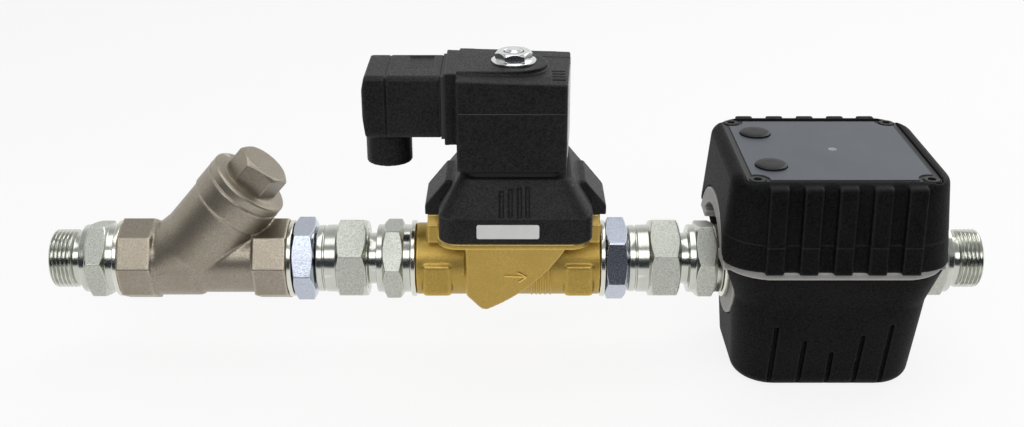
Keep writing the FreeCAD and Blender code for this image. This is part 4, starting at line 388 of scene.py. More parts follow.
def coil_nut(node):
    """Bright hexagon nut on the coil."""
    low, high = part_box(node)
    middle = (low + high) / 2 / MM
    height = (high.z - low.z) / MM
    bore, corner_radius = 4.4, 8.3
    outside = [(0, bore), (0, 7.6), (0.9, corner_radius), (height - 1.2, corner_radius), (height, 7.0),
               (height, 4.6), (height - 0.3, bore)]
    inner, row, ease = 6.0, 0.25, 0.2
    profile = filled(eased(outside, ease), [(0, height, inner, row)])
    shape = hexagonal(0, height, COIL_NUT_FLATS, HEX_TURN[node], blend=0.3, inner=5.0)
    lathe(node + "_turned", profile, (middle.x, middle.y, low.z / MM), (0, 0, 1), shape, HEX_TURN[node],
          node=node)


# Mouldings and castings, made from the nodes' solids

def copied(name, node):
    """A clean copy of a node's solid, with its flat faces whole."""
    weld, flat_angle = 0.002, 0.4
    form = bmesh.new()
    form.from_mesh(nodes[node].data)
    bmesh.ops.remove_doubles(form, verts=form.verts, dist=weld * MM)
    bmesh.ops.dissolve_limit(form, angle_limit=math.radians(flat_angle), verts=form.verts, edges=form.edges)
    mesh = bpy.data.meshes.new(name)
    form.to_mesh(mesh)
    form.free()
    return mesh


def hull(name, points, rounding=0.0):
    """Mesh of the convex form round points, with its edges rounded."""
    flat_angle = 0.5
    form = bmesh.new()
    for point in points:
        form.verts.new(Vector(point) * MM)
    bmesh.ops.convex_hull(form, input=form.verts)
    bmesh.ops.dissolve_limit(form, angle_limit=math.radians(flat_angle), verts=form.verts, edges=form.edges)
    if rounding:
        bmesh.ops.bevel(form, geom=form.edges[:], offset=rounding * MM, segments=3, profile=0.5,
                        affect="EDGES", clamp_overlap=True)
    bmesh.ops.recalc_face_normals(form, faces=form.faces)
    mesh = bpy.data.meshes.new(name)
    form.to_mesh(mesh)
    form.free()
    smooth(mesh, angle=40)
    return mesh


def trim(name, points, rounding, slot):
    """A small convex piece fixed to the set."""
    return new_piece(name, hull(name, points, rounding), body="set", slot=slot)


def box_points(low, high):
    """Corners of a box."""
    return [(x, y, z) for x in (low[0], high[0]) for y in (low[1], high[1]) for z in (low[2], high[2])]


def bar_points(start, end, normal, width, into, out):
    """Corners of a bar along a line on a face, reaching into the face and out of it."""
    start, end = Vector(start), Vector(end)
    along = (end - start).normalized()
    side = along.cross(Vector(normal)).normalized()
    rise = side.cross(along)
    return [tuple(point + side * (width / 2 * across) + rise * height)
            for point in (start, end) for across in (-1, 1) for height in (-into, out)]


def carve(piece, tools):
    """Cuts convex tools, each a list of points, out of a piece."""
    for number, points in enumerate(tools):
        tool = bpy.data.objects.new(f"tool_{number}", hull(f"tool_{number}", points))
        scene.collection.objects.link(tool)
        modifier = piece.modifiers.new("carve", "BOOLEAN")
        modifier.operation = "DIFFERENCE"
        modifier.solver = "EXACT"
        modifier.object = tool
        settled(piece)
        mesh = tool.data
        bpy.data.objects.remove(tool)
        bpy.data.meshes.remove(mesh)


def rounded_copy(node, width, slot=None):
    """A node's solid with its edges rounded."""
    piece = new_piece(node + "_shell", copied(node + "_shell", node), node, slot)
    sharp_angle = 35
    bevel = piece.modifiers.new("edges", "BEVEL")
    bevel.width = width * MM
    bevel.segments = 2
    bevel.limit_method = "ANGLE"
    bevel.angle_limit = math.radians(sharp_angle)
    return settled(piece, angle=30)


def add_easing(piece, passes):
    """Adds a smoothing of the piece's points."""
    ease = piece.modifiers.new("ease", "SMOOTH")
    ease.factor = 0.5
    ease.iterations = passes
    return ease


def moulded_copy(node, voxel, passes, tools=(), fills=()):
    """A node's solid, less some tools and with some fills, as a soft-edged moulding of even small faces."""
    piece = new_piece(node + "_cast", copied(node + "_cast", node), node)
    carve(piece, tools)
    form = bmesh.new()
    form.from_mesh(piece.data)
    for number, points in enumerate(fills):
        fill = hull(f"fill_{number}", points)
        form.from_mesh(fill)
        bpy.data.meshes.remove(fill)
    form.to_mesh(piece.data)
    form.free()
    remesh = piece.modifiers.new("skin", "REMESH")
    remesh.mode = "VOXEL"
    remesh.voxel_size = voxel * MM
    add_easing(piece, passes)
    return settled(piece, angle=60)


def ease_where(piece, weights, passes):
    """Smooths a piece further where the weights are high."""
    least = 0.02
    group = piece.vertex_groups.new(name="ease")
    for index in np.nonzero(weights > least)[0]:
        group.add([int(index)], float(weights[index]), "REPLACE")
    add_easing(piece, passes).vertex_group = group.name
    settled(piece, angle=60)
    piece.vertex_groups.clear()


def strainer_body(node):
    """Y casting: its octagon ends and collar stay crisp, the branch flows into the run on the inlet side."""
    web_along, web_radius, web_end_x, web_end_radius = (9.0, 15.0), 17.3, 47.2, 16.4
    outlet_share, collar_gap, branch_start, branch_skin, branch_share = 0.25, 3, 17, 1.5, 0.6
    axis = np.array(BRANCH_AXIS)
    across, level = np.array([-axis[2], 0, axis[0]]), np.array([0, 1, 0])
    foot = np.array([BRANCH_FOOT, 0, 0])
    turns = np.linspace(0, 2 * math.pi, 64, endpoint=False)
    web = [foot + axis * along + (across * math.cos(turn) + level * math.sin(turn)) * web_radius
           for along in web_along for turn in turns]
    web += [np.array([web_end_x, math.sin(turn) * web_end_radius, math.cos(turn) * web_end_radius])
            for turn in turns]
    piece = moulded_copy(node, voxel=0.55, passes=3, fills=[web])
    places = points_of(piece)
    off_foot = places - foot
    along = off_foot @ axis
    off_branch = np.abs(np.linalg.norm(off_foot - np.outer(along, axis), axis=1) - BRANCH_RADIUS)
    off_run = np.abs(np.linalg.norm(places[:, 1:], axis=1) - RUN_RADIUS)
    near_both = near(np.maximum(off_branch, off_run), 1.8, 4.8)
    towards_inlet = near(places[:, 0], BRANCH_FOOT - 1.5, BRANCH_FOOT + 9)
    inlet_side = outlet_share + (1 - outlet_share) * towards_inlet
    below_collar = along < BRANCH_COLLAR - collar_gap
    plain_branch = (off_branch < branch_skin) * (along > branch_start) * below_collar * branch_share
    ease_where(piece, np.maximum(near_both * inlet_side * below_collar, plain_branch), passes=24)


def collar_seam():
    """Edge line where the branch's machined collar begins, and its twin under the cap."""
    half, root, proud = 0.35, 1.2, 0.28
    for name, at, radius in (("branch_seam", BRANCH_COLLAR, 18.15), ("cap_seam", BRANCH_LENGTH + 0.25, 18.3)):
        section = [(at - half, radius - root), (at - 0.3, radius), (at, radius + proud), (at + half, radius),
                   (at + half, radius - root)]
        profile = eased(section, radius=0.12)
        lathe(name, profile, (BRANCH_FOOT, 0, 0), BRANCH_AXIS, body="set", slot="cast_stainless")


def lug_posts():
    """Brass posts under the cover's wings."""
    half_depth, bottom, top = 13.1, 20.5, 27.1
    for side, left, right in (("inlet", 170.5, 176.0), ("outlet", 242.6, 246.5)):
        points = box_points((left, -half_depth, bottom), (right, half_depth, top))
        trim(f"lug_post_{side}", points, rounding=0.7, slot="forged_brass")


def flow_arrow():
    """Plain raised arrow on the belly's slanted front panel."""
    lean, panel_y, panel_z = 0.4, -26.2, 19.5
    width, into, out = 0.9, 0.6, 0.45
    tip = (214.2, -0.9)
    strokes = (("shaft", (204.3, -0.3), (213.6, -0.9)), ("barb_up", (210.2, 1.9), tip),
               ("barb_down", (210.7, -4.1), tip))
    for name, start, end in strokes:
        on_panel = [(x, panel_y + lean * (panel_z - z), z) for x, z in (start, end)]
        points = bar_points(*on_panel, (0, -1, -lean), width, into, out)
        trim(f"flow_arrow_{name}", points, rounding=0.2, slot="forged_brass")


def fine_rings():
    """Fine turned rings on the valve's run, beside the belly."""
    root, crest = 14.6, 16.75
    places = (216.6, 218.7, 220.5, 222.8, 225.1)
    section = [(-0.5, root), (-0.45, 16.2), (-0.1, crest), (0.25, crest), (0.5, 16.3), (0.5, root)]
    profile = eased(section, radius=0.15)
    for number, at in enumerate(places, start=1):
        lathe(f"valve_ring_{number}", profile, (at, 0, 0), PIPE_AXIS, body="set", slot="forged_brass")


def valve_body(node):
    """Brass casting, with the edge of its belly eased on the inlet side of the front."""
    edge_x = 187.6
    piece = moulded_copy(node, voxel=0.55, passes=3)
    x, y, z = points_of(piece).T
    beside_edge = near(np.abs(x - edge_x), 2.7, 7.2)
    at_front, below_wings = near(y, -18, -15), near(z, 12, 17)
    ease_where(piece, beside_edge * at_front * below_wings, passes=60)
    lug_posts()
    flow_arrow()
    fine_rings()


def valve_cover(node):
    """Black cover: four grooves down the front slope, and wings that end above the brass posts."""
    slope_y, slope_z, slope_run, slope_normal = -35, 35.6, 0.75, (0, -14.0, 10.5)
    groove_foot, groove_width, groove_depth, groove_out = (-35.3, 35.0), 2.0, 1.7, 1.5
    groove_tops = ((203.2, 44.7), (207.1, 45.4), (210.9, 45.9), (214.4, 46.1))
    tools = [bar_points((x, slope_y + (z - slope_z) * slope_run, z), (x, *groove_foot), slope_normal,
                        groove_width, groove_depth, groove_out) for x, z in groove_tops]
    skirt_half, wing_bottom, far_left, far_right, far_out, far_down = 33.1, 27.4, 160.0, 256.0, 40, 20
    for left, right in ((far_left, COVER_X - skirt_half), (COVER_X + skirt_half, far_right)):
        tools.append(box_points((left, -far_out, far_down), (right, far_out, wing_bottom)))
    wing_half = 12.9
    wing = ((25.0, 27.8), (39.2, 27.8), (39.2, 32.4), (30.6, 43.0), (25.0, 43.0))
    fills = [[(COVER_X + side * x, y, z) for x, z in wing for y in (-wing_half, wing_half)]
             for side in (-1, 1)]
    moulded_copy(node, voxel=0.45, passes=1, tools=tools, fills=fills)


def coil_housing(node):
    """Coil moulding: four short slots in its top, a front edge that slopes down and a raised back edge."""
    slot_left, slot_right, slot_half, slot_floor, above = 224.6, 230.2, 0.7, 89.2, 97
    slot_places = (-6.6, -10.4, -14.2, -18.0)
    tools = [box_points((slot_left, y - slot_half, slot_floor), (slot_right, y + slot_half, above))
             for y in slot_places]
    front_ends = ((VALVE_X - 24.2, 92.0), (VALVE_X + 28.4, 90.2))
    slope_start, slope_end, slope_drop, clear = -15, -26, 1.1, 4
    tools.append([(x, y, top + rise) for x, top in front_ends
                  for y, drop in ((slope_start, 0.0), (slope_end, slope_drop)) for rise in (-drop, clear)])
    back_ends = ((VALVE_X - 23.9, 92.0), (VALVE_X + 25.1, 90.3))
    back_start, back_end, back_foot, proud = 15.0, 24.1, 57.0, 0.2
    back = [(x, y, z) for x, top in back_ends
            for y in (back_start, back_end) for z in (back_foot, top + proud)]
    moulded_copy(node, voxel=0.42, passes=1, tools=tools, fills=[back])
    coil_mould_lines(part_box(node)[1].y / MM)


def coil_mould_lines(half_depth):
    """Fine raised line of the coil's two moulds round its upper third."""
    height, width, into, out = 76.9, 0.45, 0.6, 0.14
    side_inset = Vector((0.62, 1.6, 0))
    left, right, right_back = VALVE_X - 23.4, VALVE_X + 21.8, VALVE_X + 24.6
    corners = [Vector((x, y, height)) for x, y in ((left, -half_depth), (right, -half_depth),
                                                   (right_back, half_depth), (left, half_depth))]
    for name, start, end in zip(("front", "side", "back"), corners, corners[1:]):
        outward = Vector((end.y - start.y, start.x - end.x, 0))
        if name == "side":
            start, end = start + side_inset, end + side_inset * Vector((1, -1, 1))
        points = bar_points(start, end, outward, width, into, out)
        trim(f"coil_mould_line_{name}", points, rounding=0.1, slot="black_polyamide")


def plug_housing(node):
    """Cable plug: bevelled free end, the seams of its lid and foot, and a shallow field in its top."""
    low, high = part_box(node)
    left, front, top = low.x / MM, low.y / MM, high.z / MM
    right, back = high.x / MM, high.y / MM
    beyond = 2
    bottom, outside = top - 27.4, left - 4
    bevels = ((top - 16, bottom - 0.5, 1.7), (top - 8, top + beyond, 2.2))
    tools = [[(x, y, z) for y in (front - beyond, back + beyond)
              for x, z in ((outside, start), (left, start), (outside, end), (left + cut, end))]
             for start, end, cut in bevels]
    seam_left, seam_right, seam_depth, top_seam_depth, seam_foot = 153.9, 154.9, 0.9, 0.7, top - 42
    field_left, field_right, field_front, field_back, field_depth = 162.6, 173.8, -6.4, 14.6, 0.8
    joint_left, joint_right, joint_depth, joint_foot = right - 1.2, right - 0.5, 0.7, top - 40
    above = top + beyond
    tools += [box_points((seam_left, front - beyond, seam_foot), (seam_right, front + seam_depth, above)),
              box_points((seam_left, back - seam_depth, seam_foot), (seam_right, back + beyond, above)),
              box_points((field_left, field_front, top - field_depth), (field_right, field_back, above)),
              box_points((seam_left, front - beyond, top - top_seam_depth),
                         (seam_right, back + beyond, above)),
              box_points((joint_left, front - beyond, joint_foot), (joint_right, front + joint_depth, above))]
    moulded_copy(node, voxel=0.45, passes=2, tools=tools)


def lower_boot(node):
    """Rubber boot with five thin grooves low on its front and on its back, and an eased waist."""
    face_y, face_z, taper, taper_height, lean = 38.0, -6.0, 6, 43, 0.14
    width, depth, out, run_out = 1.9, 2.3, 6, 6
    waist_z, waist_share, waist_fade = -4.5, 1.5, 6
    strokes = (((322.8, -44.3), (323.5, -16.7)), ((335.7, -45.8), (336.6, -23.8)),
               ((348.5, -45.3), (349.0, -30.0)), ((360.4, -44.8), (361.9, -21.0)),
               ((372.2, -42.8), (373.8, -15.3)))
    tools = []
    for facing in (-1, 1):
        for (x_low, low), (x_high, high) in strokes:
            ends = ((x_low, low - run_out), (x_high, high))
            on_face = [(x, facing * (face_y - (face_z - z) * taper / taper_height), z) for x, z in ends]
            tools.append(bar_points(*on_face, (0, facing, -lean), width, depth, out))
    piece = moulded_copy(node, voxel=0.55, passes=3, tools=tools)
    from_waist = np.abs(points_of(piece)[:, 2] - waist_z)
    ease_where(piece, np.clip(waist_share - from_waist / waist_fade, 0, 1), passes=60)


def labels(node):
    """Blank label plates with rounded corners."""
    thickest, corner = 0.5, 0.9
    form = bmesh.new()
    form.from_mesh(copied(node + "_plain", node))
    thin = [edge for edge in form.edges if edge.calc_length() < thickest * MM]
    bmesh.ops.bevel(form, geom=thin, offset=corner * MM, segments=4, profile=0.5, affect="EDGES",
                    clamp_overlap=True)
    mesh = bpy.data.meshes.new(node + "_plates")
    form.to_mesh(mesh)
    form.free()
    smooth(mesh, angle=30)
    new_piece(node + "_plates", mesh, node)


def spring(node):
    """A spring's coils: a smooth-shaded copy of the node's solid, on a mesh of its own."""
    mesh = copied(node + "_coils", node)
    smooth(mesh)
    piece = new_piece(node + "_coils", mesh, node)
    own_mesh(piece)


# Materials

def math_node(tree, operation, *values, clamp=False):
    """A maths node on numbers or sockets."""
    node = tree.nodes.new("ShaderNodeMath")
    node.operation = operation
    node.use_clamp = clamp
    for value, socket in zip(values, node.inputs):
        if isinstance(value, (int, float)):
            socket.default_value = value
        else:
            tree.links.new(value, socket)
    return node.outputs[0]


def ramp_node(tree, source, *stops):
    """A ramp through (position, colour or grey) stops."""
    node = tree.nodes.new("ShaderNodeValToRGB")
    while len(node.color_ramp.elements) < len(stops):
        node.color_ramp.elements.new(0.5)
    for element, (position, colour) in zip(node.color_ramp.elements, stops):
        element.position = position
        element.color = (*colour, 1) if isinstance(colour, tuple) else (colour, colour, colour, 1)
    tree.links.new(source, node.inputs["Fac"])
    return node.outputs["Color"]


def mix_node(tree, share, a, b):
    """Blends two colours or sockets by a share."""
    node = tree.nodes.new("ShaderNodeMix")
    node.data_type = "RGBA"
    for value, socket in ((share, node.inputs["Factor"]), (a, node.inputs["A"]), (b, node.inputs["B"])):
        if isinstance(value, tuple):
            socket.default_value = (*value, 1)
        else:
            tree.links.new(value, socket)
    return node.outputs["Result"]


def shader_mix(tree, share, a, b):
    """Blends two shaders by a share."""
    node = tree.nodes.new("ShaderNodeMixShader")
    for source, socket in zip((share, a, b), node.inputs):
        tree.links.new(source, socket)
    return node.outputs[0]


def scaled(colour, factor, most=1.0):
    """A colour made lighter or darker by a factor."""
    return tuple(min(most, value * factor) for value in colour)


class Finish:
    """A procedural material: object coordinates feed noises, ramps and a bump on one principled shader."""
    made = {}

    def __init__(self, name, metallic=0.0, specular=0.5):
        material = bpy.data.materials.new(name)
        material.use_nodes = True
        self.tree = material.node_tree
        self.shader = self.tree.nodes["Principled BSDF"]
        self.shader.inputs["Metallic"].default_value = metallic
        self.shader.inputs["Specular IOR Level"].default_value = specular
        self.place = self.tree.nodes.new("ShaderNodeTexCoord").outputs["Object"]
        Finish.made[name] = material

    def noise(self, per_mm, detail=3.0, rough=0.55):
        node = self.tree.nodes.new("ShaderNodeTexNoise")
        node.inputs["Scale"].default_value = per_mm / MM
        node.inputs["Detail"].default_value = detail
        node.inputs["Roughness"].default_value = rough
        self.tree.links.new(self.place, node.inputs["Vector"])
        return node.outputs["Fac"]

    def edges(self):
        """Over 0.5 on outer edges, under it in corners."""
        return self.tree.nodes.new("ShaderNodeNewGeometry").outputs["Pointiness"]

    def attribute(self, name):
        node = self.tree.nodes.new("ShaderNodeAttribute")
        node.attribute_name = name
        return node.outputs["Fac"]

    def height(self):
        """Height over the pipe axis in metres."""
        split = self.tree.nodes.new("ShaderNodeSeparateXYZ")
        self.tree.links.new(self.place, split.inputs[0])
        return split.outputs["Z"]

    def ramp(self, source, *stops):
        return ramp_node(self.tree, source, *stops)

    def mix(self, share, a, b):
        return mix_node(self.tree, share, a, b)

    def math(self, operation, *values):
        return math_node(self.tree, operation, *values)

    def add(self, a, b, weight):
        return self.math("MULTIPLY_ADD", b, weight, a)

    def colour(self, source):
        self.tree.links.new(source, self.shader.inputs["Base Color"])

    def roughness(self, source, *stops):
        self.tree.links.new(self.ramp(source, *stops) if stops else source, self.shader.inputs["Roughness"])

    def bump(self, source, depth_mm, strength=None):
        node = self.tree.nodes.new("ShaderNodeBump")
        node.inputs["Distance"].default_value = depth_mm * MM
        if strength is not None:
            self.tree.links.new(strength, node.inputs["Strength"])
        self.tree.links.new(source, node.inputs["Height"])
        self.tree.links.new(node.outputs["Normal"], self.shader.inputs["Normal"])


def plated(name, dark, light, blotch, turned=(0.14, 0.26), flat=(0.36, 0.52)):
    """Bare or plated metal: bright where turned, grainy on flats, painted shade in corners, paler on outer
    edges.
    """
    finish = Finish(name, metallic=1.0)
    speckle = finish.noise(per_mm=1.9, detail=4.0, rough=0.72)
    cloud = finish.noise(per_mm=0.11)
    facet = finish.attribute("facet")
    edges = finish.edges()
    grainy = finish.ramp(speckle, (0.34, dark), (0.60, light))
    even = finish.ramp(speckle, (0.2, scaled(light, 0.86)), (0.7, light))
    tone = finish.mix(facet, even, grainy)
    tone = finish.mix(finish.ramp(cloud, (0.42, 0.0), (0.66, 0.45)), tone, blotch)
    # Painted shade: corners and creases are darkened towards a third of the dark tone.
    tone = finish.mix(finish.ramp(edges, (0.40, 0.75), (0.485, 0.0)), tone, scaled(dark, 0.35))
    # Outer edges are made paler.
    finish.colour(finish.mix(finish.ramp(edges, (0.5, 0.0), (0.58, 0.8)), tone, scaled(light, 1.2, most=0.9)))
    finish.roughness(finish.mix(facet, finish.ramp(speckle, (0.3, turned[1]), (0.65, turned[0])),
                                finish.ramp(speckle, (0.3, flat[1]), (0.65, flat[0]))))
    strength = finish.math("MULTIPLY_ADD", facet, 0.75, 0.12)
    finish.bump(finish.add(speckle, cloud, weight=1.5), depth_mm=0.05, strength=strength)


def cast_metal(name, dark, light, stain, metallic, rough, grain_mm, depth_mm):
    """Cast surface: sandy grain, stains, and outer edges painted paler, partly for rubbed wear and partly as
    a painted highlight.
    """
    finish = Finish(name, metallic=metallic)
    grain = finish.noise(per_mm=1 / grain_mm, detail=4.0, rough=0.65)
    cloud = finish.noise(per_mm=0.07, detail=4.0, rough=0.6)
    tone = finish.ramp(grain, (0.28, dark), (0.7, light))
    tone = finish.mix(finish.ramp(cloud, (0.44, 0.0), (0.7, 0.6)), tone, stain)
    # Outer edges painted paler: partly rubbed wear, partly a painted highlight; the plain end face gets none.
    wear_and_highlight = finish.ramp(finish.edges(), (0.505, 0.0), (0.56, 0.8))
    wear_and_highlight = finish.mix(finish.attribute("plain"), wear_and_highlight, (0.0, 0.0, 0.0))
    finish.colour(finish.mix(wear_and_highlight, tone, scaled(light, 1.5)))
    finish.roughness(grain, (0.25, rough[1]), (0.75, rough[0]))
    finish.bump(finish.add(grain, cloud, weight=1.5), depth_mm)


def moulded(name, dark, light, rough, grain_mm, depth_mm, edge, specular=0.5, line=None):
    """Moulded plastic or rubber: grain, dust specks and a painted highlight on outer edges, both in the pale
    edge colour, and a mould line at a height, drawn in that colour and raised by the bump.
    """
    finish = Finish(name, specular=specular)
    grain = finish.noise(per_mm=1 / grain_mm, rough=0.6)
    cloud = finish.noise(per_mm=0.05)
    dust = finish.noise(per_mm=1.3, detail=5.0, rough=0.75)
    # The colour edge is shared: real dust specks, the painted highlight on outer edges and the mould line all
    # take it.
    tone = finish.ramp(finish.add(grain, cloud, weight=0.3), (0.50, dark), (0.78, light))
    tone = finish.mix(finish.ramp(dust, (0.62, 0.0), (0.78, 0.4)), tone, edge)
    # Painted highlight: outer edges are lightened to the edge colour.
    tone = finish.mix(finish.ramp(finish.edges(), (0.51, 0.0), (0.6, 0.75)), tone, edge)
    relief = finish.add(grain, dust, weight=0.4)
    if line is not None:
        line_width = 0.5
        off = finish.math("ABSOLUTE", finish.math("SUBTRACT", finish.height(), line * MM))
        seam = finish.ramp(finish.math("DIVIDE", off, line_width * MM), (0.3, 0.35), (0.9, 0.0))
        tone = finish.mix(seam, tone, edge)
        relief = finish.add(relief, seam, weight=1.5)
    finish.colour(tone)
    finish.roughness(grain, (0.3, rough[1]), (0.7, rough[0]))
    finish.bump(relief, depth_mm)


def sheet_stock(name, dark, light, rough):
    """Film or label stock: faint mottling and a fine matt texture."""
    finish = Finish(name)
    cloud = finish.noise(per_mm=0.04)
    fine = finish.noise(per_mm=6.0, detail=2.0)
    mottled = finish.ramp(cloud, (0.3, dark), (0.7, light))
    finish.colour(finish.mix(finish.ramp(fine, (0.4, 0.0), (0.6, 0.35)), mottled, scaled(dark, 0.85)))
    finish.roughness(fine, (0.3, rough[1]), (0.7, rough[0]))
    finish.bump(fine, depth_mm=0.008)


def clear(name, dark, light):
    """Pale moulded light guide."""
    finish = Finish(name)
    cloud = finish.noise(per_mm=0.5, detail=2.0)
    finish.colour(finish.ramp(cloud, (0.3, dark), (0.7, light)))
    finish.roughness(cloud, (0.3, 0.18), (0.7, 0.26))
    finish.shader.inputs["Transmission Weight"].default_value = 0.35


def make_finishes():
    """One material for each of the record's slots."""
    plated("plated_fittings", dark=(0.28, 0.29, 0.265), light=(0.61, 0.62, 0.565),
           blotch=(0.47, 0.485, 0.425))
    plated("plated_studs", dark=(0.32, 0.36, 0.43), light=(0.58, 0.63, 0.72), blotch=(0.52, 0.50, 0.57),
           turned=(0.14, 0.24), flat=(0.20, 0.32))
    plated("washer_steel", dark=(0.50, 0.49, 0.45), light=(0.74, 0.73, 0.66), blotch=(0.56, 0.58, 0.46))
    plated("bright_steel", dark=(0.58, 0.59, 0.60), light=(0.70, 0.71, 0.71), blotch=(0.62, 0.62, 0.62),
           turned=(0.16, 0.28))
    plated("screen_steel", dark=(0.40, 0.40, 0.38), light=(0.62, 0.62, 0.60), blotch=(0.50, 0.50, 0.48))
    plated("contact_brass", dark=(0.55, 0.40, 0.16), light=(0.75, 0.58, 0.26), blotch=(0.62, 0.46, 0.20))
    plated("copper_wire", dark=(0.45, 0.19, 0.10), light=(0.66, 0.32, 0.19), blotch=(0.50, 0.22, 0.12))
    cast_metal("cast_stainless", dark=(0.225, 0.195, 0.155), light=(0.40, 0.36, 0.295),
               stain=(0.285, 0.245, 0.19), metallic=0.95, rough=(0.30, 0.44), grain_mm=0.6, depth_mm=0.08)
    cast_metal("forged_brass", dark=(0.33, 0.21, 0.044), light=(0.54, 0.385, 0.113),
               stain=(0.40, 0.27, 0.062), metallic=1.0, rough=(0.36, 0.52), grain_mm=0.45, depth_mm=0.045)
    cast_metal("meter_alloy", dark=(0.21, 0.205, 0.195), light=(0.35, 0.345, 0.33),
               stain=(0.27, 0.262, 0.252), metallic=0.3, rough=(0.45, 0.62), grain_mm=0.4, depth_mm=0.04)
    # edge is the pale colour of dust specks and mould lines, and of the painted highlight on outer edges.
    moulded("black_polyamide", dark=(0.0008, 0.0008, 0.001), light=(0.017, 0.016, 0.017), rough=(0.38, 0.60),
            grain_mm=0.8, depth_mm=0.10, edge=(0.058, 0.057, 0.060), specular=0.22)
    moulded("face_black", dark=(0.005, 0.005, 0.006), light=(0.009, 0.009, 0.010), rough=(0.35, 0.5),
            grain_mm=0.3, depth_mm=0.02, edge=(0.03, 0.03, 0.032), specular=0.25)
    moulded("boot_rubber", dark=(0.0008, 0.0008, 0.001), light=(0.008, 0.008, 0.0085), rough=(0.5, 0.68),
            grain_mm=0.8, depth_mm=0.06, edge=(0.034, 0.034, 0.037), specular=0.09, line=27.0)
    moulded("button_rubber", dark=(0.006, 0.006, 0.007), light=(0.011, 0.011, 0.012), rough=(0.38, 0.5),
            grain_mm=0.25, depth_mm=0.02, edge=(0.03, 0.03, 0.032), specular=0.25)
    moulded("seal_rubber", dark=(0.008, 0.008, 0.008), light=(0.015, 0.015, 0.014), rough=(0.5, 0.7),
            grain_mm=0.3, depth_mm=0.03, edge=(0.04, 0.04, 0.04), specular=0.3)
    moulded("servo_plastic", dark=(0.30, 0.28, 0.22), light=(0.40, 0.37, 0.30), rough=(0.4, 0.55),
            grain_mm=0.3, depth_mm=0.02, edge=(0.5, 0.48, 0.42))
    moulded("terminal_plastic", dark=(0.10, 0.10, 0.10), light=(0.16, 0.16, 0.155), rough=(0.4, 0.55),
            grain_mm=0.3, depth_mm=0.02, edge=(0.25, 0.25, 0.25))
    moulded("gear_plastic", dark=(0.40, 0.39, 0.36), light=(0.52, 0.51, 0.47), rough=(0.35, 0.5),
            grain_mm=0.3, depth_mm=0.02, edge=(0.6, 0.6, 0.57))
    moulded("board_green", dark=(0.012, 0.09, 0.035), light=(0.02, 0.13, 0.05), rough=(0.3, 0.42),
            grain_mm=0.5, depth_mm=0.02, edge=(0.30, 0.32, 0.22))
    moulded("sensor_black", dark=(0.010, 0.010, 0.010), light=(0.018, 0.018, 0.018), rough=(0.4, 0.55),
            grain_mm=0.3, depth_mm=0.02, edge=(0.05, 0.05, 0.05))
    moulded("cell_jacket", dark=(0.04, 0.10, 0.22), light=(0.06, 0.14, 0.29), rough=(0.25, 0.38),
            grain_mm=0.4, depth_mm=0.01, edge=(0.2, 0.28, 0.4))
    sheet_stock("face_overlay", dark=(0.060, 0.070, 0.087), light=(0.076, 0.088, 0.107), rough=(0.38, 0.5))
    sheet_stock("label_stock", dark=(0.62, 0.62, 0.61), light=(0.74, 0.74, 0.73), rough=(0.35, 0.5))
    clear("lens_clear", dark=(0.30, 0.31, 0.32), light=(0.38, 0.39, 0.40))


def paint(piece, slot):
    """Gives a piece the material of a slot."""
    piece.data.materials.clear()
    piece.data.materials.append(Finish.made[slot])


# Studio

def joined_rays(tree, *outputs):
    """One socket that is 1 for any of these kinds of ray."""
    path = tree.nodes.new("ShaderNodeLightPath")
    total = path.outputs[outputs[0]]
    for output in outputs[1:]:
        total = math_node(tree, "ADD", total, path.outputs[output], clamp=True)
    return total


def floor_material():
    """Pale floor that reads as white to the camera and in reflections and still takes the shadow."""
    glow_share = 0.85
    finish = Finish("pale_floor", specular=0.0)
    finish.shader.inputs["Roughness"].default_value = 0.9
    finish.colour(finish.ramp(finish.noise(per_mm=0.004, detail=2.0), (0.3, 0.90), (0.7, 0.93)))
    tree = finish.tree
    seen = joined_rays(tree, "Is Camera Ray", "Is Glossy Ray", "Is Transmission Ray")
    glow = tree.nodes.new("ShaderNodeEmission")
    glow.inputs["Strength"].default_value = 1.0
    share = finish.math("MULTIPLY", seen, glow_share)
    surface = shader_mix(tree, share, finish.shader.outputs[0], glow.outputs[0])
    tree.links.new(surface, tree.nodes["Material Output"].inputs["Surface"])
    return Finish.made["pale_floor"]


def stage_floor():
    """A wide pale floor, just under the set, that ends in front of it."""
    form = bmesh.new()
    bmesh.ops.create_grid(form, x_segments=8, y_segments=8, size=FLOOR_HALF)
    for vertex in form.verts:
        vertex.co.y = max(vertex.co.y, FLOOR_FRONT)
    mesh = bpy.data.meshes.new("floor")
    form.to_mesh(mesh)
    form.free()
    floor = bpy.data.objects.new("floor", mesh)
    floor.location = (FLOOR_X, 0, cad_box[0][2] - FLOOR_DROP)
    scene.collection.objects.link(floor)
    mesh.materials.append(floor_material())


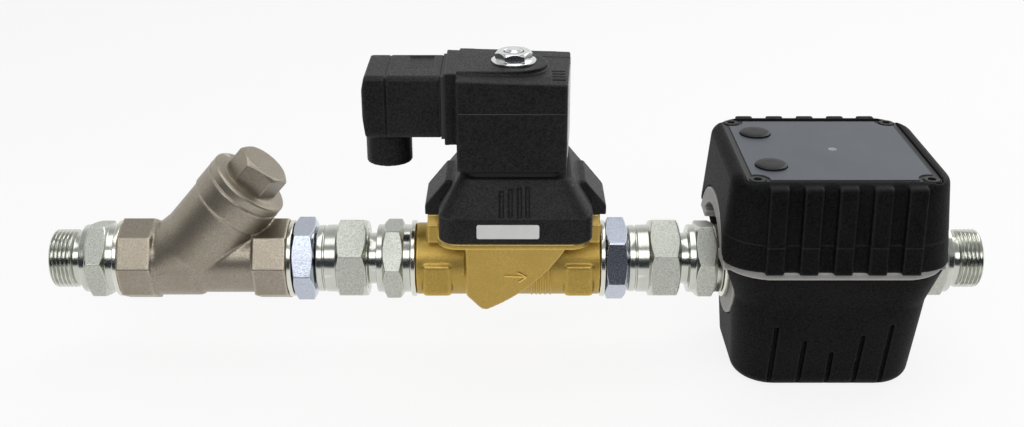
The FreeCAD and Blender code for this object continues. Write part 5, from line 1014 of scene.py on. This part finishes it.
def studio_world():
    """Even light on matt surfaces; the camera sees white, gloss a white back and a dark camera side."""
    navy, grey, pale_grey = (0.018, 0.022, 0.032), (0.34, 0.35, 0.36), (0.5, 0.51, 0.52)
    world = bpy.data.worlds.new("studio")
    scene.world = world
    world.use_nodes = True
    tree = world.node_tree
    fill = tree.nodes["Background"]
    fill.inputs["Color"].default_value = WHITE
    fill.inputs["Strength"].default_value = FILL_STRENGTH
    split = tree.nodes.new("ShaderNodeSeparateXYZ")
    tree.links.new(tree.nodes.new("ShaderNodeTexCoord").outputs["Generated"], split.inputs[0])
    height = math_node(tree, "MULTIPLY_ADD", split.outputs["Z"], 0.5, 0.5)
    depth = math_node(tree, "MULTIPLY_ADD", split.outputs["Y"], 0.5, 0.5)
    front = ramp_node(tree, height, (0.26, 0.5), (0.32, navy), (0.69, navy), (0.74, grey), (0.98, grey))
    back = ramp_node(tree, height, (0.5, 0.95), (0.72, 0.9), (0.9, pale_grey))
    room = mix_node(tree, ramp_node(tree, depth, (0.3, 0.0), (0.56, 1.0)), front, back)
    mirrored = tree.nodes.new("ShaderNodeBackground")
    tree.links.new(room, mirrored.inputs["Color"])
    white = tree.nodes.new("ShaderNodeBackground")
    white.inputs["Color"].default_value = WHITE
    shader = fill.outputs[0]
    for rays, seen in ((("Is Glossy Ray", "Is Transmission Ray"), mirrored), (("Is Camera Ray",), white)):
        shader = shader_mix(tree, joined_rays(tree, *rays), shader, seen.outputs[0])
    tree.links.new(shader, tree.nodes["World Output"].inputs["Surface"])


def softbox(name, location, width, height, watts):
    """A rectangular lamp that faces the middle of the set."""
    light = bpy.data.lights.new(name, "AREA")
    light.shape = "RECTANGLE"
    light.size, light.size_y = width, height
    light.energy = watts
    lamp = bpy.data.objects.new(name, light)
    lamp.location = location
    lamp.rotation_euler = (Vector(SET_MIDDLE) - Vector(location)).to_track_quat("-Z", "Y").to_euler()
    scene.collection.objects.link(lamp)


def studio_camera():
    """The photograph's view: from the front, looking down on the set."""
    data = bpy.data.cameras.new("camera")
    data.lens = CAMERA_LENS
    data.sensor_width = SENSOR_WIDTH
    data.clip_start = NEAREST
    camera = bpy.data.objects.new("camera", data)
    camera.location = CAMERA_PLACE
    camera.rotation_euler = (math.radians(90 - CAMERA_DOWN), 0, 0)
    scene.collection.objects.link(camera)
    scene.camera = camera


adapter("inlet_adapter")
adapter("valve_inlet_adapter", threaded=False)
adapter("meter_inlet_adapter", threaded=False)
adapter("outlet_adapter", reverse=True)
stud("strainer_outlet_stud")
stud("valve_outlet_stud")
swivel_nut("strainer_swivel_nut")
swivel_nut("valve_swivel_nut")
washers("bonded_washers")
strainer_cap("strainer_cap")
coil_nut("coil_nut")
strainer_body("strainer_body")
collar_seam()
valve_body("valve_body")
valve_cover("valve_cover")
coil_housing("coil_housing")
plug_housing("plug_housing")
moulded_copy("upper_boot", voxel=0.6, passes=4)
lower_boot("lower_boot")
moulded_copy("meter_body", voxel=0.6, passes=2)
labels("blank_labels")
rounded_copy("gland_nut", width=0.6)
rounded_copy("case_screws", width=0.2, slot="face_black")
rounded_copy("cover_screws", width=0.25)
rounded_copy("coil_washer", width=0.25)
spring("plunger_spring")
spring("diaphragm_spring")

make_finishes()
for name, node in nodes.items():
    paint(node, slot_of_node[name])
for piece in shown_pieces():
    if "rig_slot" in piece:
        paint(piece, piece["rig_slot"])

stage_floor()
studio_world()
softbox("front_strip", (0.15, -0.95, 0.72), width=1.5, height=0.5, watts=6)
softbox("overhead", (0.15, 0.05, 1.1), width=1.2, height=0.7, watts=4)
softbox("right_back", (0.95, 0.5, 0.6), width=0.5, height=0.8, watts=3)
studio_camera()
scene.view_settings.view_transform = "Standard"
